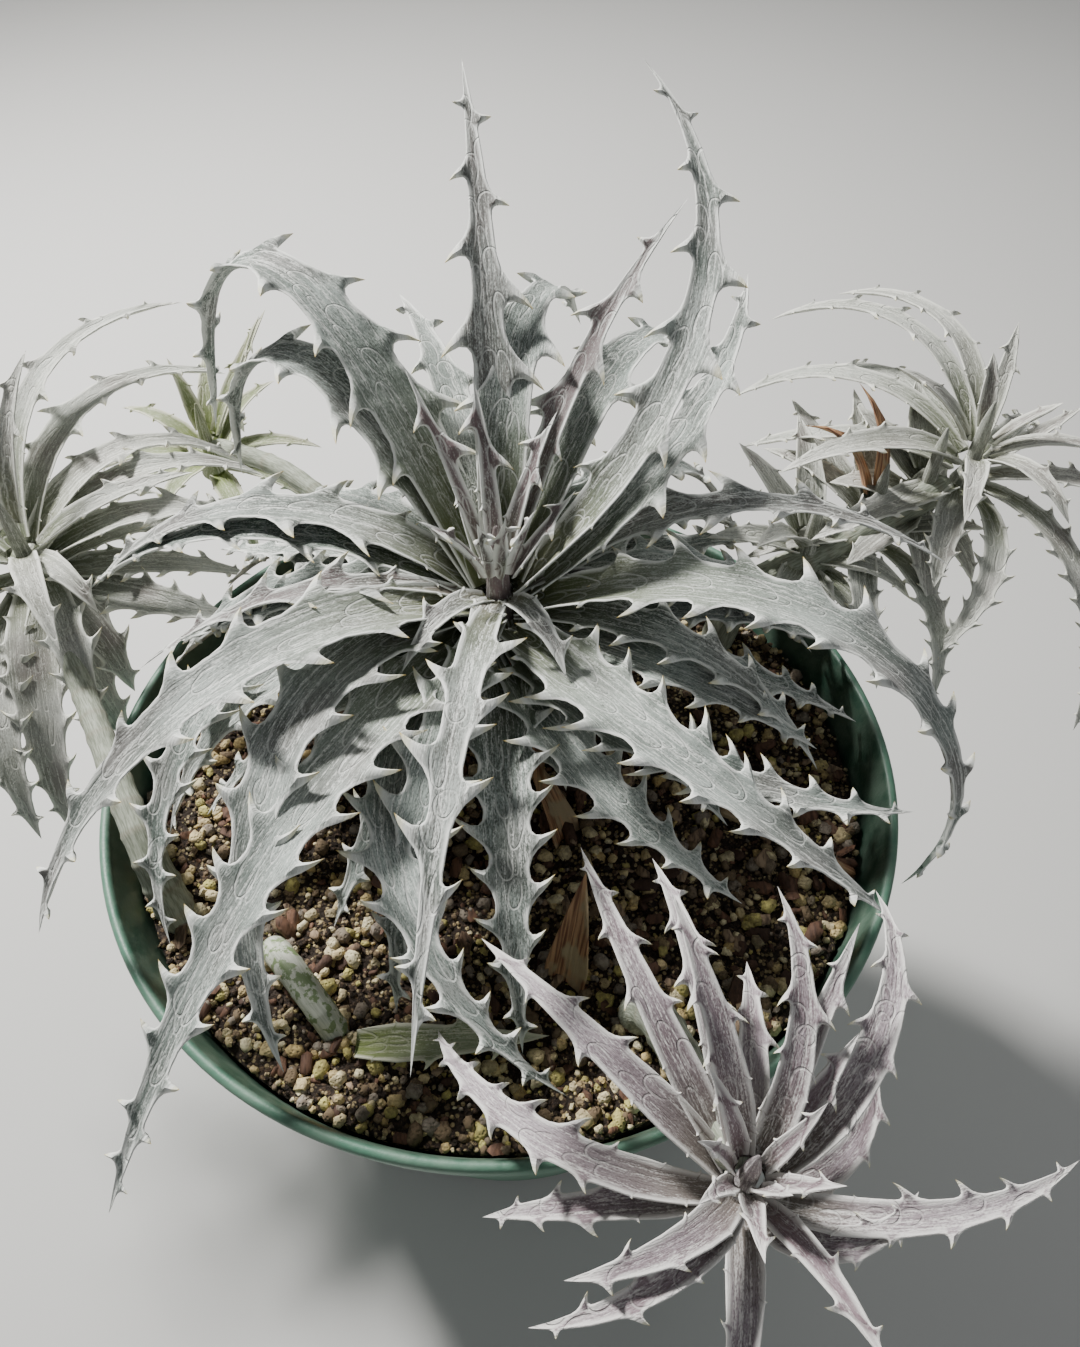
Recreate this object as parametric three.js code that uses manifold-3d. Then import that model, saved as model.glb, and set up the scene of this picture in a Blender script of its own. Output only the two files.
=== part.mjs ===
// A clump of dyckia, a spiny rosette-forming bromeliad, growing in a round nursery pot.
// Millimetres, +Z up. The origin is the middle of the pot's base, and the front is towards -Y.
//
// Five rosettes share the pot. The main one stands on a short stem in the middle. Four younger
// ones grow on leafy canes, which lean out over the rim. Every leaf is a channelled ribbon whose
// two margins carry real hooked teeth.

import * as THREE from 'three';
import { mergeVertices } from 'three/addons/utils/BufferGeometryUtils.js';
import Module from 'manifold-3d';

const wasm = await Module();
wasm.setup();

// ---------------------------------------------------------------- driving dimensions

// The pot: a thermoformed ten-inch nursery pot with a rolled lip.
const POT_RIM_RADIUS = 130;
const POT_BASE_RADIUS = 85;
const POT_HEIGHT = 190;
const POT_WALL = 2.2;
const POT_FLOOR = 3;
const LIP_WIDTH = 5;
const LIP_DEPTH = 16;
const LIP_ROUND = 3;
const FOOT_BEVEL = 3;
const POT_SIDES = 44;
const DRAIN_HOLES = 6;
const DRAIN_RADIUS = 7;
const DRAIN_CIRCLE = 62;

// The potting mix: it fills the pot to a finger's breadth below the rim. Its rings are fractions
// of its radius. FACET_ROOM keeps its coarse corners off the pot's finer ones.
const MIX_TOP = 172;
const MIX_BEVEL = 2;
const MIX_RELIEF = 1.3;
const MIX_SIDES = 24;
const MIX_RINGS = [0.95, 0.78, 0.6, 0.42, 0.22];
const FACET_ROOM = 0.6;
const STONES = 14;
const STONE_SMALLEST = 2.4;
const STONE_LARGEST = 4.6;
const STONE_FLATNESS = 0.75;
const STONE_SEED = 11;

// Pieces that touch keep this gap.
const GAP = 0.4;

// Leaf form, as fractions of the leaf's width unless they say otherwise.
const CHANNEL_DEPTH = 0.13;
const LEAF_THICKNESS = 0.1;
const CHANNELLED_FROM = 15.5;
const THINNEST_BLADE = 1.1;
const NARROW_BASE = 0.62;
const FULL_WIDTH_FROM = 0.22;

// Teeth: the lift and the hook of the point are fractions of its height, and the hook turns
// forward at this fraction of the leaf. Both ends of a leaf carry smaller teeth.
const TOOTH_LIFT = 0.28;
const HOOK_BACK = -0.5;
const HOOK_FORWARD = 0.35;
const HOOKS_TURN_AT = 0.7;
const TOOTH_AT_BASE = 0.2;
const TOOTH_GROWTH = 4;
const TOOTH_AT_TIP = 0.3;
const TOOTH_FADE = 1.35;

// The heart that the leaves are seated in: steep young leaves high and near its middle, flat old
// ones SEAT_DROP lower and further out.
const SEAT_RADIUS = 3;
const SEAT_SPREAD = 4;
const SEAT_DROP = 24;
const STEEPEST_RISE = 75;
const HEART_SIDES = 12;
const HEART_SHOULDER = 12;
const HEART_NECK = 0.6;
const HEART_CROWN = 0.5;

// Each rosette: where its heart is, its stem from the mix up to the heart, its leaves' margins (the
// teeth's spacing and height, and how late the blade tapers) and its leaves. A leaf is [heading, rise, droop, length, width, turn, bend]: the compass heading
// of its base (0 is +X, 90 is +Y), its slope at the base and at the tip, its length along the
// curve and its full width in millimetres, and how far its heading swings by the tip. The slope
// changes evenly for a bend of 1, which a row may leave out, and in a knee for a larger one.
const ROSETTES = [
    {
        name: 'main_rosette',
        colour: 'silver',
        stem: { radius: 10.5, sides: 10, points: [[0, 26, 146], [0, 27, 190], [0, 28, 226]] },
        heartRadius: 9,
        margin: { pitch: 45, tooth: 8.5, taper: 1.7 },
        whorls: [{ heart: [0, 28, 250], leaves: [
            [91, 60, 22, 161, 12, 8],
            [4, 50, 22, 188, 13, 126],
            [64, 56, 30, 125, 9, -22],
            [124, 44, -80, 224, 20, 37, 3],
            [124, 58, 35, 68, 5, 0],
            [158, 38, -52, 152, 15, 30],
            [188, 34, -34, 112, 7, 16],
            [206, 34, -66, 188, 20, 20],
            [206, 26, -62, 178, 19, 92],
            [235, 18, -48, 204, 19, 10],
            [264, 42, -42, 161, 10, 0],
            [294, 8, -75, 60, 15, 0],
            [272, 8, -54, 134, 18, 4],
            [300, 21, -42, 154, 20, 42],
            [352, 29, -106, 236, 18, -42, 1.4],
            [20, 20, -58, 122, 15, -14],
            [30, 30, -30, 154, 12, -50],
            [332, 14, -40, 108, 17, 16],
            [294, 10, -22, 148, 16, 80],
            [282, 8, -40, 120, 16, 62],
            [224, 8, -38, 172, 14, 118],
            [254, 24, -84, 144, 14, 2],
            [194, 18, -70, 142, 15, 26],
            [130, 42, -84, 186, 20, 26, 2],
            [164, 8, -38, 174, 14, 130],
            [88, 62, -60, 152, 16, -24, 1.6],
            [56, 54, -62, 158, 20, 4, 1.3],
            [16, 36, 12, 140, 16, 66],
            [104, 50, -10, 118, 16, 10],
            [72, 42, -80, 150, 16, -32, 1.4],
            [48, 34, -80, 138, 15, -20, 1.2],
            [112, 30, -70, 138, 16, 6],
            [132, 20, -60, 138, 16, 10],
            [150, 18, -60, 130, 15, 10],
            [170, 22, -60, 125, 14, 12],
            [86, 26, -65, 130, 16, 6],
            [62, 22, -60, 130, 16, -6],
            [40, 20, -60, 135, 15, -8],
            [14, 16, -60, 125, 15, -10],
            [346, 22, -60, 120, 14, -16],
            [316, 4, -50, 96, 14, 14],
            [244, 6, -60, 110, 14, -10],
            [212, 6, -60, 120, 14, -20],
            [168, 34, -50, 154, 14, 8],
            [178, 20, -60, 128, 14, -6],
            [190, 6, -50, 118, 15, 0],
            [8, 6, -40, 124, 15, 0],
            [350, 2, -40, 126, 15, 10],
            [36, 8, -50, 104, 15, -10],
            [76, 10, -50, 116, 16, 0],
            [104, 8, -50, 120, 16, 0],
            [172, 6, -30, 112, 15, 8],
            [156, 8, -30, 116, 15, -6],
            [140, 6, -34, 112, 15, 0],
            [34, 6, -30, 116, 15, -6],
            [56, 6, -30, 112, 15, 0],
            [14, 2, -30, 112, 15, 0],
            [258, 46, -50, 44, 10, 6],
            [304, 46, -46, 42, 9, -10],
            [226, 46, -50, 44, 9, 10],
        ] }],
    },
    {
        name: 'lower_right_rosette',
        colour: 'plum',
        stem: {
            radius: 5.8,
            sides: 7,
            points: [[40, -78, 150], [44, -88, 190], [53, -114, 205], [61, -133, 207]],
        },
        heartRadius: 7.8,
        margin: { pitch: 18, tooth: 5.2, taper: 1.8 },
        whorls: [{ heart: [62, -136, 215], leaves: [
            [186, 30, -50, 102, 9.5, -80],
            [148, 46, -32, 90, 10, -20],
            [126, 45, -20, 92, 9.5, -22],
            [100, 45, -30, 86, 9, 4],
            [104, 62, 10, 68, 9.5, 8],
            [50, 58, 5, 70, 9, 60],
            [22, 45, -25, 90, 11, 75],
            [356, 22, 10, 46, 9, 90],
            [335, 28, -12, 80, 9, 58],
            [306, 24, 10, 44, 10, 110],
            [266, 25, -50, 58, 9.5, -14],
            [240, 45, -35, 64, 8, -62],
            [232, 50, -20, 52, 9, -50],
            [190, 25, -50, 64, 9, -16],
            [58, 52, 20, 64, 8, 4],
            [78, 30, -30, 56, 10, 8],
        ] }],
    },
    {
        name: 'upper_right_rosette',
        colour: 'pale',
        stem: {
            radius: 6.6,
            sides: 8,
            points: [[78, 66, 150], [88, 70, 192], [120, 83, 204], [163, 98, 226]],
        },
        heartRadius: 7.8,
        margin: { pitch: 26, tooth: 4.2, taper: 3.2 },
        whorls: [
            { heart: [170, 100, 247], leaves: [
                [100, 50, -36, 106, 8, 75],
                [78, 48, -28, 98, 8, 80],
                [132, 38, -40, 96, 9, 50],
                [165, 25, -30, 80, 9, 10],
                [190, 40, -40, 74, 12, -4],
                [356, 14, -30, 62, 9, -12],
                [316, 10, -84, 110, 9, -50],
                [296, -5, -70, 74, 8, -110],
                [112, 34, -44, 82, 8, 40],
                [208, 10, -20, 62, 12, -6],
                [240, 10, -60, 44, 11, 20],
                [40, 24, -50, 56, 9, 20],
            ] },
            { heart: [136, 90, 228], leaves: [
                [125, 35, 10, 52, 12, -10],
                [100, 52, 20, 42, 11, 0],
                [312, 6, -80, 70, 9, -50],
                [250, 10, -70, 52, 11, 50],
                [170, 24, -20, 50, 12, 0],
                [200, 20, -30, 46, 12, -10],
                [150, 44, -10, 44, 12, 6],
            ] },
            { heart: [155, 96, 239], leaves: [
                [222, 6, -40, 34, 15, -10],
                [135, 40, 10, 34, 14, 0],
                [268, -6, -60, 34, 15, 10],
                [95, 46, 20, 34, 14, 0],
            ] },
            { heart: [112, 80, 222], leaves: [
                [308, 14, -84, 56, 12, -14],
                [90, 56, 10, 44, 12, 10],
            ] },
        ],
    },
    {
        name: 'left_rosette',
        colour: 'pale',
        stem: {
            radius: 4.4,
            sides: 7,
            points: [
                [-99, -52, 150], [-103, -47, 180], [-112, -32, 198], [-138, 14, 206],
                [-164, 58, 210],
            ],
        },
        heartRadius: 7.8,
        margin: { pitch: 26, tooth: 5.7, taper: 2.6 },
        whorls: [{ heart: [-169, 66, 232], leaves: [
            [110, 45, -14, 128, 10, -84],
            [94, 38, -34, 124, 12, -66],
            [68, 38, -60, 104, 13, -44],
            [350, -2, -14, 70, 15, 0],
            [286, 8, -80, 100, 17, -6],
            [262, 4, -60, 96, 14, 40],
            [322, 8, -80, 56, 14, -10],
            [150, 40, -50, 104, 11, 20],
            [180, 32, -60, 100, 12, 0],
            [206, 38, -40, 96, 11, -10],
            [230, 15, -80, 95, 11, 0],
            [92, 70, 30, 60, 8, -30],
            [130, 12, -80, 90, 12, 10],
            [50, 34, -50, 98, 12, -26],
            [30, 26, -50, 90, 13, -16],
            [300, 46, -50, 56, 10, 0],
            [14, 44, -20, 64, 10, 20],
            [304, -6, -80, 70, 13, 10],
            [310, 20, -70, 82, 12, -30],
            [46, 10, -60, 84, 13, -10],
            [80, 16, -50, 68, 13, -30],
            [12, 6, -42, 72, 14, 10],
        ] }],
    },
    {
        name: 'back_left_rosette',
        colour: 'green',
        stem: {
            radius: 4.6,
            sides: 7,
            points: [[-50, 92, 150], [-56, 100, 190], [-86, 126, 205], [-126, 155, 198]],
        },
        heartRadius: 7.8,
        margin: { pitch: 18, tooth: 4, taper: 1.7 },
        whorls: [{ heart: [-128, 156, 206], leaves: [
            [40, 60, 48, 54, 8, -6],
            [190, 30, -40, 48, 9, 0],
            [150, 40, -20, 42, 9, 10],
            [90, 54, 0, 40, 9, 14],
            [10, 30, -30, 44, 10, -10],
            [220, 26, -40, 46, 10, -10],
            [250, 30, -40, 41, 10, 0],
            [90, 15, -70, 60, 12, 5],
            [140, 12, -70, 55, 12, 5],
            [62, 40, -10, 40, 10, -16],
            [340, 20, -60, 48, 10, 6],
            [60, 50, 36, 58, 8, -10],
            [300, 14, -60, 50, 11, 0],
        ] }],
    },
];

// Withered and shed pieces and a runner, each its own solid. They stand or lie in the mix.
const LOOSE_LEAVES = [
    { name: 'dry_leaf_middle', colour: 'dry', seat: [24, -24, 166], leaf: [125, 75, 20, 50, 13, 10] },
    { name: 'dry_leaf_front', colour: 'dry', seat: [19, -76, 166], leaf: [70, 72, 40, 46, 15, 5] },
    { name: 'dry_leaf_back', colour: 'dry', seat: [52, 84, 166], leaf: [150, 80, -40, 46, 12, -60] },
    { name: 'fallen_leaf', colour: 'pale', seat: [-40, -92, 177], leaf: [0, 4, -8, 56, 12, 6] },
];
const DRY_STALK = {
    radius: 2.2,
    sides: 7,
    points: [[74, -12, 175.5], [88, -21, 176.5], [104, -30, 175], [115, -36, 174]],
};
const RUNNER = {
    radius: 4.2,
    sides: 8,
    points: [
        [-69, -60, 158], [-68, -63, 176], [-59, -74, 183], [-50, -84, 178], [-44, -89, 160],
    ],
};

// ---------------------------------------------------------------- materials

const MATERIALS = {
    pot: new THREE.MeshStandardMaterial({ color: 0x4f8a6d, roughness: 0.45, metalness: 0 }),
    mix: new THREE.MeshStandardMaterial({ color: 0x6f5f48, roughness: 0.9, metalness: 0 }),
    silver: new THREE.MeshStandardMaterial({ color: 0xaab4af, roughness: 0.75, metalness: 0 }),
    plum: new THREE.MeshStandardMaterial({ color: 0xa9a1a6, roughness: 0.75, metalness: 0 }),
    pale: new THREE.MeshStandardMaterial({ color: 0xbcc2bb, roughness: 0.75, metalness: 0 }),
    green: new THREE.MeshStandardMaterial({ color: 0xb3bb9a, roughness: 0.7, metalness: 0 }),
    dry: new THREE.MeshStandardMaterial({ color: 0x9a7a5c, roughness: 0.85, metalness: 0 }),
    runner: new THREE.MeshStandardMaterial({ color: 0xa9b48e, roughness: 0.6, metalness: 0 }),
};

// ---------------------------------------------------------------- helpers

const radians = THREE.MathUtils.degToRad;

// A repeatable stream of numbers between 0 and 1.
function makeRandom(seed) {
    let state = seed;
    return () => {
        state = (state * 1664525 + 1013904223) % 4294967296;
        return state / 4294967296;
    };
}

// A closed geometry as a solid: equal vertices are merged, collapsed triangles dropped,
// and the faces turned to point outwards.
function solid(geometry) {
    const bare = new THREE.BufferGeometry();
    bare.setAttribute('position', geometry.getAttribute('position').clone());
    if (geometry.index) bare.setIndex(geometry.index.clone());
    const merged = mergeVertices(bare, 1e-4);
    const place = merged.getAttribute('position');
    const triangles = [];
    let volume = 0;
    const [a, b, c] = [new THREE.Vector3(), new THREE.Vector3(), new THREE.Vector3()];
    for (let i = 0; i < merged.index.count; i += 3) {
        const corners = [0, 1, 2].map((k) => merged.index.getX(i + k));
        if (new Set(corners).size < 3) continue;
        triangles.push(corners);
        [a, b, c].forEach((point, k) => point.fromBufferAttribute(place, corners[k]));
        volume += a.dot(b.cross(c));
    }
    const outward = triangles.flatMap(([i, j, k]) => (volume > 0 ? [i, j, k] : [i, k, j]));
    return new wasm.Manifold(new wasm.Mesh({
        numProp: 3,
        vertProperties: new Float32Array(place.array),
        triVerts: new Uint32Array(outward),
    }));
}

// A solid as a named mesh of the group.
function meshOf(shape, name, material) {
    const { vertProperties, triVerts } = shape.getMesh();
    const geometry = new THREE.BufferGeometry();
    geometry.setAttribute('position', new THREE.BufferAttribute(vertProperties, 3));
    geometry.setIndex(new THREE.BufferAttribute(triVerts, 1));
    geometry.computeVertexNormals();
    const mesh = new THREE.Mesh(geometry, material);
    mesh.name = name;
    return mesh;
}

// Solids joined into one body. A scrap that the joining leaves loose is dropped.
function union(solids) {
    const joined = solids.reduce((whole, piece) => whole.add(piece));
    return joined.decompose().reduce((large, body) => (body.volume() > large.volume() ? body : large));
}

// A profile of [radius, height] pairs turned about the Z axis.
function turned(profile, sides) {
    const points = profile.map(([radius, height]) => new THREE.Vector2(radius, height));
    return new THREE.LatheGeometry(points, sides).rotateX(Math.PI / 2);
}

// A round stem along a smooth curve through the points. extra widens it and, for a hole that
// it stands in, carries both ends a little further.
function tube({ radius, sides, points }, extra = 0) {
    const knots = points.map((point) => new THREE.Vector3(...point));
    if (extra > 0) {
        const last = knots.length - 1;
        const back = knots[0].clone().sub(knots[1]).setLength(extra);
        const on = knots[last].clone().sub(knots[last - 1]).setLength(extra);
        knots[0].add(back);
        knots[last].add(on);
    }
    const circle = new THREE.Shape();
    circle.setFromPoints(Array.from({ length: sides }, (_, k) => {
        const angle = (2 * Math.PI * k) / sides;
        return new THREE.Vector2(Math.cos(angle), Math.sin(angle)).multiplyScalar(radius + extra);
    }));
    return new THREE.ExtrudeGeometry(circle, {
        steps: 3 * (points.length - 1),
        curveSegments: sides,
        extrudePath: new THREE.CatmullRomCurve3(knots),
    });
}

// ---------------------------------------------------------------- leaves

// The point and heading of a leaf's centre line at its stations, by adding up short steps whose
// slope runs from rise to droop while the heading swings by turn.
function centreLine(seat, [heading, rise, droop, length, , turn, bend = 1], stations) {
    const substeps = 4;
    const count = stations * substeps;
    const point = new THREE.Vector3(...seat);
    const line = [];
    for (let k = 0; k <= count; k++) {
        if (k % substeps === 0) {
            line.push({ point: point.clone(), heading: radians(heading + (turn * k) / count) });
        }
        const middle = (k + 0.5) / count;
        const bent = middle ** bend / (middle ** bend + bend * (1 - middle) ** bend);
        const slope = radians(rise + (droop - rise) * bent);
        const way = radians(heading + turn * middle);
        const step = length / count;
        point.x += step * Math.cos(slope) * Math.cos(way);
        point.y += step * Math.cos(slope) * Math.sin(way);
        point.z += step * Math.sin(slope);
    }
    return line;
}

// Where a leaf leaves the heart: the flatter it lies, the lower and further out it is seated.
function seatOf(heart, [heading, rise]) {
    const tier = THREE.MathUtils.clamp((STEEPEST_RISE - rise) / STEEPEST_RISE, 0, 1);
    const out = SEAT_RADIUS + SEAT_SPREAD * tier;
    const way = radians(heading);
    return [
        heart[0] + out * Math.cos(way),
        heart[1] + out * Math.sin(way),
        heart[2] - SEAT_DROP * tier,
    ];
}

// The height of the tooth at u: small at the base, full from a fifth of the way, small at the tip.
function toothHeight(u, full) {
    const grown = Math.min(1, TOOTH_AT_BASE + TOOTH_GROWTH * u);
    const fading = Math.min(1, TOOTH_AT_TIP + TOOTH_FADE * (1 - u));
    return full * grown * fading;
}

// The blade's width between its teeth at u: narrowed where it leaves the heart, then full,
// then tapering to the tip.
function leafWidth(u, width, taper) {
    const opened = NARROW_BASE + (1 - NARROW_BASE) * Math.min(1, u / FULL_WIDTH_FROM);
    return width * opened * (1 - u ** taper);
}

// A leaf as a closed ribbon. Its section has two margins, a channel down the middle of the top
// and a keel below. Left and right teeth take turns along it. Each tooth's point is hooked back
// towards the base over most of the leaf and forward near the tip, and is lifted a little.
function leafGeometry(seat, leaf, margin, extra = 0) {
    const [, , , length, width] = leaf;
    const channelled = width > CHANNELLED_FROM;
    const pairs = Math.max(2, Math.round(length / margin.pitch));
    const stations = 2 * pairs;
    const line = centreLine(seat, leaf, stations);
    const points = [];
    for (let k = 0; k < stations; k++) {
        const u = k / stations;
        const { point, heading } = line[k];
        const along = line[k + 1].point.clone().sub(line[Math.max(0, k - 1)].point).normalize();
        const across = new THREE.Vector3(-Math.sin(heading), Math.cos(heading), 0);
        const up = along.clone().cross(across).normalize();
        const full = leafWidth(u, width, margin.taper);
        const half = full / 2 + 3 * extra;
        const hook = u < HOOKS_TURN_AT ? HOOK_BACK : HOOK_FORWARD;
        for (const side of [1, -1]) {
            const toothed = margin.tooth > 0 && k > 0 && (k % 2 === 1) === (side === 1);
            const reach = toothed ? toothHeight(u, margin.tooth) : 0;
            points.push(point.clone()
                .addScaledVector(across, side * (half + reach))
                .addScaledVector(along, hook * reach)
                .addScaledVector(up, TOOTH_LIFT * reach + extra));
        }
        const channel = channelled ? CHANNEL_DEPTH * full - extra : 0;
        const thickness = Math.max(THINNEST_BLADE, LEAF_THICKNESS * full) + 2 * extra;
        points.push(point.clone().addScaledVector(up, -channel - thickness));
        if (channelled) points.push(point.clone().addScaledVector(up, -channel));
    }
    points.push(line[stations].point);

    const [LEFT, RIGHT, KEEL, CHANNEL] = [0, 1, 2, 3];
    const ring = channelled ? [LEFT, CHANNEL, RIGHT, KEEL] : [LEFT, RIGHT, KEEL];
    const size = ring.length;
    const faces = channelled ? [LEFT, KEEL, CHANNEL, RIGHT, CHANNEL, KEEL] : [LEFT, KEEL, RIGHT];
    for (let k = 0; k < stations - 1; k++) {
        for (let i = 0; i < size; i++) {
            // The diagonal starts at the margin on both faces, so top and bottom are split alike.
            let [p, q] = [ring[i], ring[(i + 1) % size]];
            const flip = q === LEFT || (channelled && q === RIGHT);
            if (flip) [p, q] = [q, p];
            const [p0, q0, p1, q1] = [size * k + p, size * k + q, size * (k + 1) + p, size * (k + 1) + q];
            faces.push(...(flip ? [p0, q1, q0, p0, p1, q1] : [p0, q0, q1, p0, q1, p1]));
        }
    }
    const last = size * (stations - 1);
    const tip = size * stations;
    for (let i = 0; i < size; i++) {
        faces.push(last + ring[i], last + ring[(i + 1) % size], tip);
    }
    const geometry = new THREE.BufferGeometry();
    const flat = points.flatMap((point) => [point.x, point.y, point.z]);
    geometry.setAttribute('position', new THREE.Float32BufferAttribute(flat, 3));
    geometry.setIndex(faces);
    return geometry;
}

// The short thick heart of a rosette, which its leaves are seated in.
function heartGeometry([x, y, z], radius) {
    const below = SEAT_DROP + 3;
    const profile = [
        [0, -below],
        [HEART_NECK * radius, -below],
        [radius, 4 - below],
        [radius, -HEART_SHOULDER],
        [HEART_CROWN * radius, 0],
        [0, 1],
    ];
    return turned(profile, HEART_SIDES).translate(x, y, z);
}

// A rosette: its stem, its hearts and all its leaves joined into one body.
function rosette({ stem, heartRadius, margin, whorls }) {
    const parts = whorls.flatMap(({ heart, leaves }) => [
        solid(heartGeometry(heart, heartRadius)),
        ...leaves.map((leaf) => solid(leafGeometry(seatOf(heart, leaf), leaf, margin))),
    ]);
    return union([solid(tube(stem)), ...parts]);
}

// ---------------------------------------------------------------- pot and potting mix

function pot() {
    const rim = POT_RIM_RADIUS - LIP_WIDTH;
    const wallTop = POT_HEIGHT - LIP_DEPTH;
    const wallAt = (z) => POT_BASE_RADIUS + ((rim - POT_BASE_RADIUS) * z) / wallTop;
    const profile = [
        [0, 0],
        [POT_BASE_RADIUS - FOOT_BEVEL, 0],
        [POT_BASE_RADIUS, FOOT_BEVEL],
        [wallAt(wallTop), wallTop],
        [POT_RIM_RADIUS - LIP_ROUND / 3, wallTop + 1],
        [POT_RIM_RADIUS, POT_HEIGHT - LIP_ROUND],
        [POT_RIM_RADIUS - LIP_ROUND / 2, POT_HEIGHT - LIP_ROUND / 6],
        [POT_RIM_RADIUS - LIP_ROUND, POT_HEIGHT],
        [rim + LIP_ROUND / 6, POT_HEIGHT - LIP_ROUND / 3],
        [wallAt(wallTop) - POT_WALL, wallTop],
        [wallAt(POT_FLOOR) - POT_WALL, POT_FLOOR],
        [0, POT_FLOOR],
    ];
    let body = solid(turned(profile, POT_SIDES));
    for (let k = 0; k < DRAIN_HOLES; k++) {
        const angle = (2 * Math.PI * k) / DRAIN_HOLES;
        const hole = new THREE.CylinderGeometry(DRAIN_RADIUS, DRAIN_RADIUS, 3 * POT_FLOOR, 12);
        hole.rotateX(Math.PI / 2);
        hole.translate(DRAIN_CIRCLE * Math.cos(angle), DRAIN_CIRCLE * Math.sin(angle), POT_FLOOR / 2);
        body = body.subtract(solid(hole));
    }
    return body;
}

// The mix's surface rises and falls in low lumps.
function relief(x, y) {
    const broad = Math.sin(0.09 * x + 1.3) * Math.sin(0.08 * y + 0.4);
    const fine = Math.sin(0.31 * x + 0.17 * y) * Math.cos(0.27 * y - 0.12 * x);
    return MIX_RELIEF * (broad + 0.6 * fine);
}

// The radius of the pot's inner wall at a height, less the gap.
function mixRadius(z) {
    const low = POT_BASE_RADIUS - POT_WALL;
    const high = POT_RIM_RADIUS - LIP_WIDTH - POT_WALL;
    return low + ((high - low) * z) / (POT_HEIGHT - LIP_DEPTH) - GAP - FACET_ROOM;
}

// The mix: a tapered plug with a lumpy top and scattered stones, less the holes that the
// plants stand in.
function pottingMix(standing) {
    const edge = mixRadius(MIX_TOP);
    const floor = POT_FLOOR + GAP;
    const profile = [
        [0, floor],
        [mixRadius(floor) - MIX_BEVEL, floor],
        [edge, MIX_TOP - MIX_BEVEL],
        ...MIX_RINGS.map((part) => [part * edge, MIX_TOP]),
        [0, MIX_TOP],
    ];
    const bed = turned(profile, MIX_SIDES);
    const place = bed.getAttribute('position');
    for (let i = 0; i < place.count; i++) {
        if (place.getZ(i) > MIX_TOP - 0.5) {
            place.setZ(i, place.getZ(i) + relief(place.getX(i), place.getY(i)));
        }
    }
    const random = makeRandom(STONE_SEED);
    const stones = Array.from({ length: STONES }, () => {
        const size = STONE_SMALLEST + (STONE_LARGEST - STONE_SMALLEST) * random();
        const away = (edge - 2 * STONE_LARGEST) * Math.sqrt(random());
        const angle = 2 * Math.PI * random();
        const [x, y] = [away * Math.cos(angle), away * Math.sin(angle)];
        const stone = new THREE.IcosahedronGeometry(size, 0);
        stone.rotateX(Math.PI * random());
        stone.rotateZ(Math.PI * random());
        stone.scale(1, 1, STONE_FLATNESS);
        stone.translate(x, y, MIX_TOP + relief(x, y) - 0.1 * size);
        return solid(stone);
    });
    return standing.reduce((mix, hole) => mix.subtract(hole), union([solid(bed), ...stones]));
}

// ---------------------------------------------------------------- the whole clump

// Withered leaves have lost their teeth. A leaf's hole is a wider copy of it.
const bareMargin = { pitch: 9, tooth: 0, taper: 1.7 };
const looseLeaf = ({ seat: [x, y, z], leaf }, extra = 0) => (
    solid(leafGeometry([x, y, z - extra], leaf, bareMargin, extra))
);

const holes = [
    ...ROSETTES.map(({ stem }) => solid(tube(stem, GAP))),
    ...LOOSE_LEAVES.map((piece) => looseLeaf(piece, 2 * GAP)),
    solid(tube(DRY_STALK, GAP)),
    solid(tube(RUNNER, GAP)),
];

const clump = new THREE.Group();
clump.name = 'dyckia_clump';
clump.add(meshOf(pot(), 'pot', MATERIALS.pot));
clump.add(meshOf(pottingMix(holes), 'potting_mix', MATERIALS.mix));
for (const plant of ROSETTES) {
    clump.add(meshOf(rosette(plant), plant.name, MATERIALS[plant.colour]));
}
for (const piece of LOOSE_LEAVES) {
    clump.add(meshOf(looseLeaf(piece), piece.name, MATERIALS[piece.colour]));
}
clump.add(meshOf(solid(tube(DRY_STALK)), 'dry_stalk', MATERIALS.dry));
clump.add(meshOf(solid(tube(RUNNER)), 'runner', MATERIALS.runner));

export default clump;
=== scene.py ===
import bpy
import numpy as np
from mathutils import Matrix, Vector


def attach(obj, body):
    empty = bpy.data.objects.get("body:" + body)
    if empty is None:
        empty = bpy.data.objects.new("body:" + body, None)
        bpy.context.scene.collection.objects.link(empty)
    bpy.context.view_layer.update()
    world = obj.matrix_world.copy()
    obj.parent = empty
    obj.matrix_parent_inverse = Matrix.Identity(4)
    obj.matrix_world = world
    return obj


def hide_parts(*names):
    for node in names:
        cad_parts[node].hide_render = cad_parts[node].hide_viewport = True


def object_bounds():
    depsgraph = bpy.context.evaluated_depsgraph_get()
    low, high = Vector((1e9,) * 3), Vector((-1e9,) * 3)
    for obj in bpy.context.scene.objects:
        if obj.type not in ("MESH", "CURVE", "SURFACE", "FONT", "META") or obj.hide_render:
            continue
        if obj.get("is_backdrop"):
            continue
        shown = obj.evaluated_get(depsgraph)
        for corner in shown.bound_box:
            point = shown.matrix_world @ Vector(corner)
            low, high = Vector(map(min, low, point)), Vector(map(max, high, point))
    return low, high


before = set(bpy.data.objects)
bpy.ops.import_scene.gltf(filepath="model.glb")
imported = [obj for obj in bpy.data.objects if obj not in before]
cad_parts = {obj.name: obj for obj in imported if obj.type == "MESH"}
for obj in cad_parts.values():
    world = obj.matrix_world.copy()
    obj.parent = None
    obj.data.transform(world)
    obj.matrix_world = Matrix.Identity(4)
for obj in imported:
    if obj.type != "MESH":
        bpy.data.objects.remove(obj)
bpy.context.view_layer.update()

CAMERA_PLACE = (0.013, -0.203, 0.476)
CAMERA_DIPS = 50.2
CAMERA_LENS = 28.0

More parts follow.
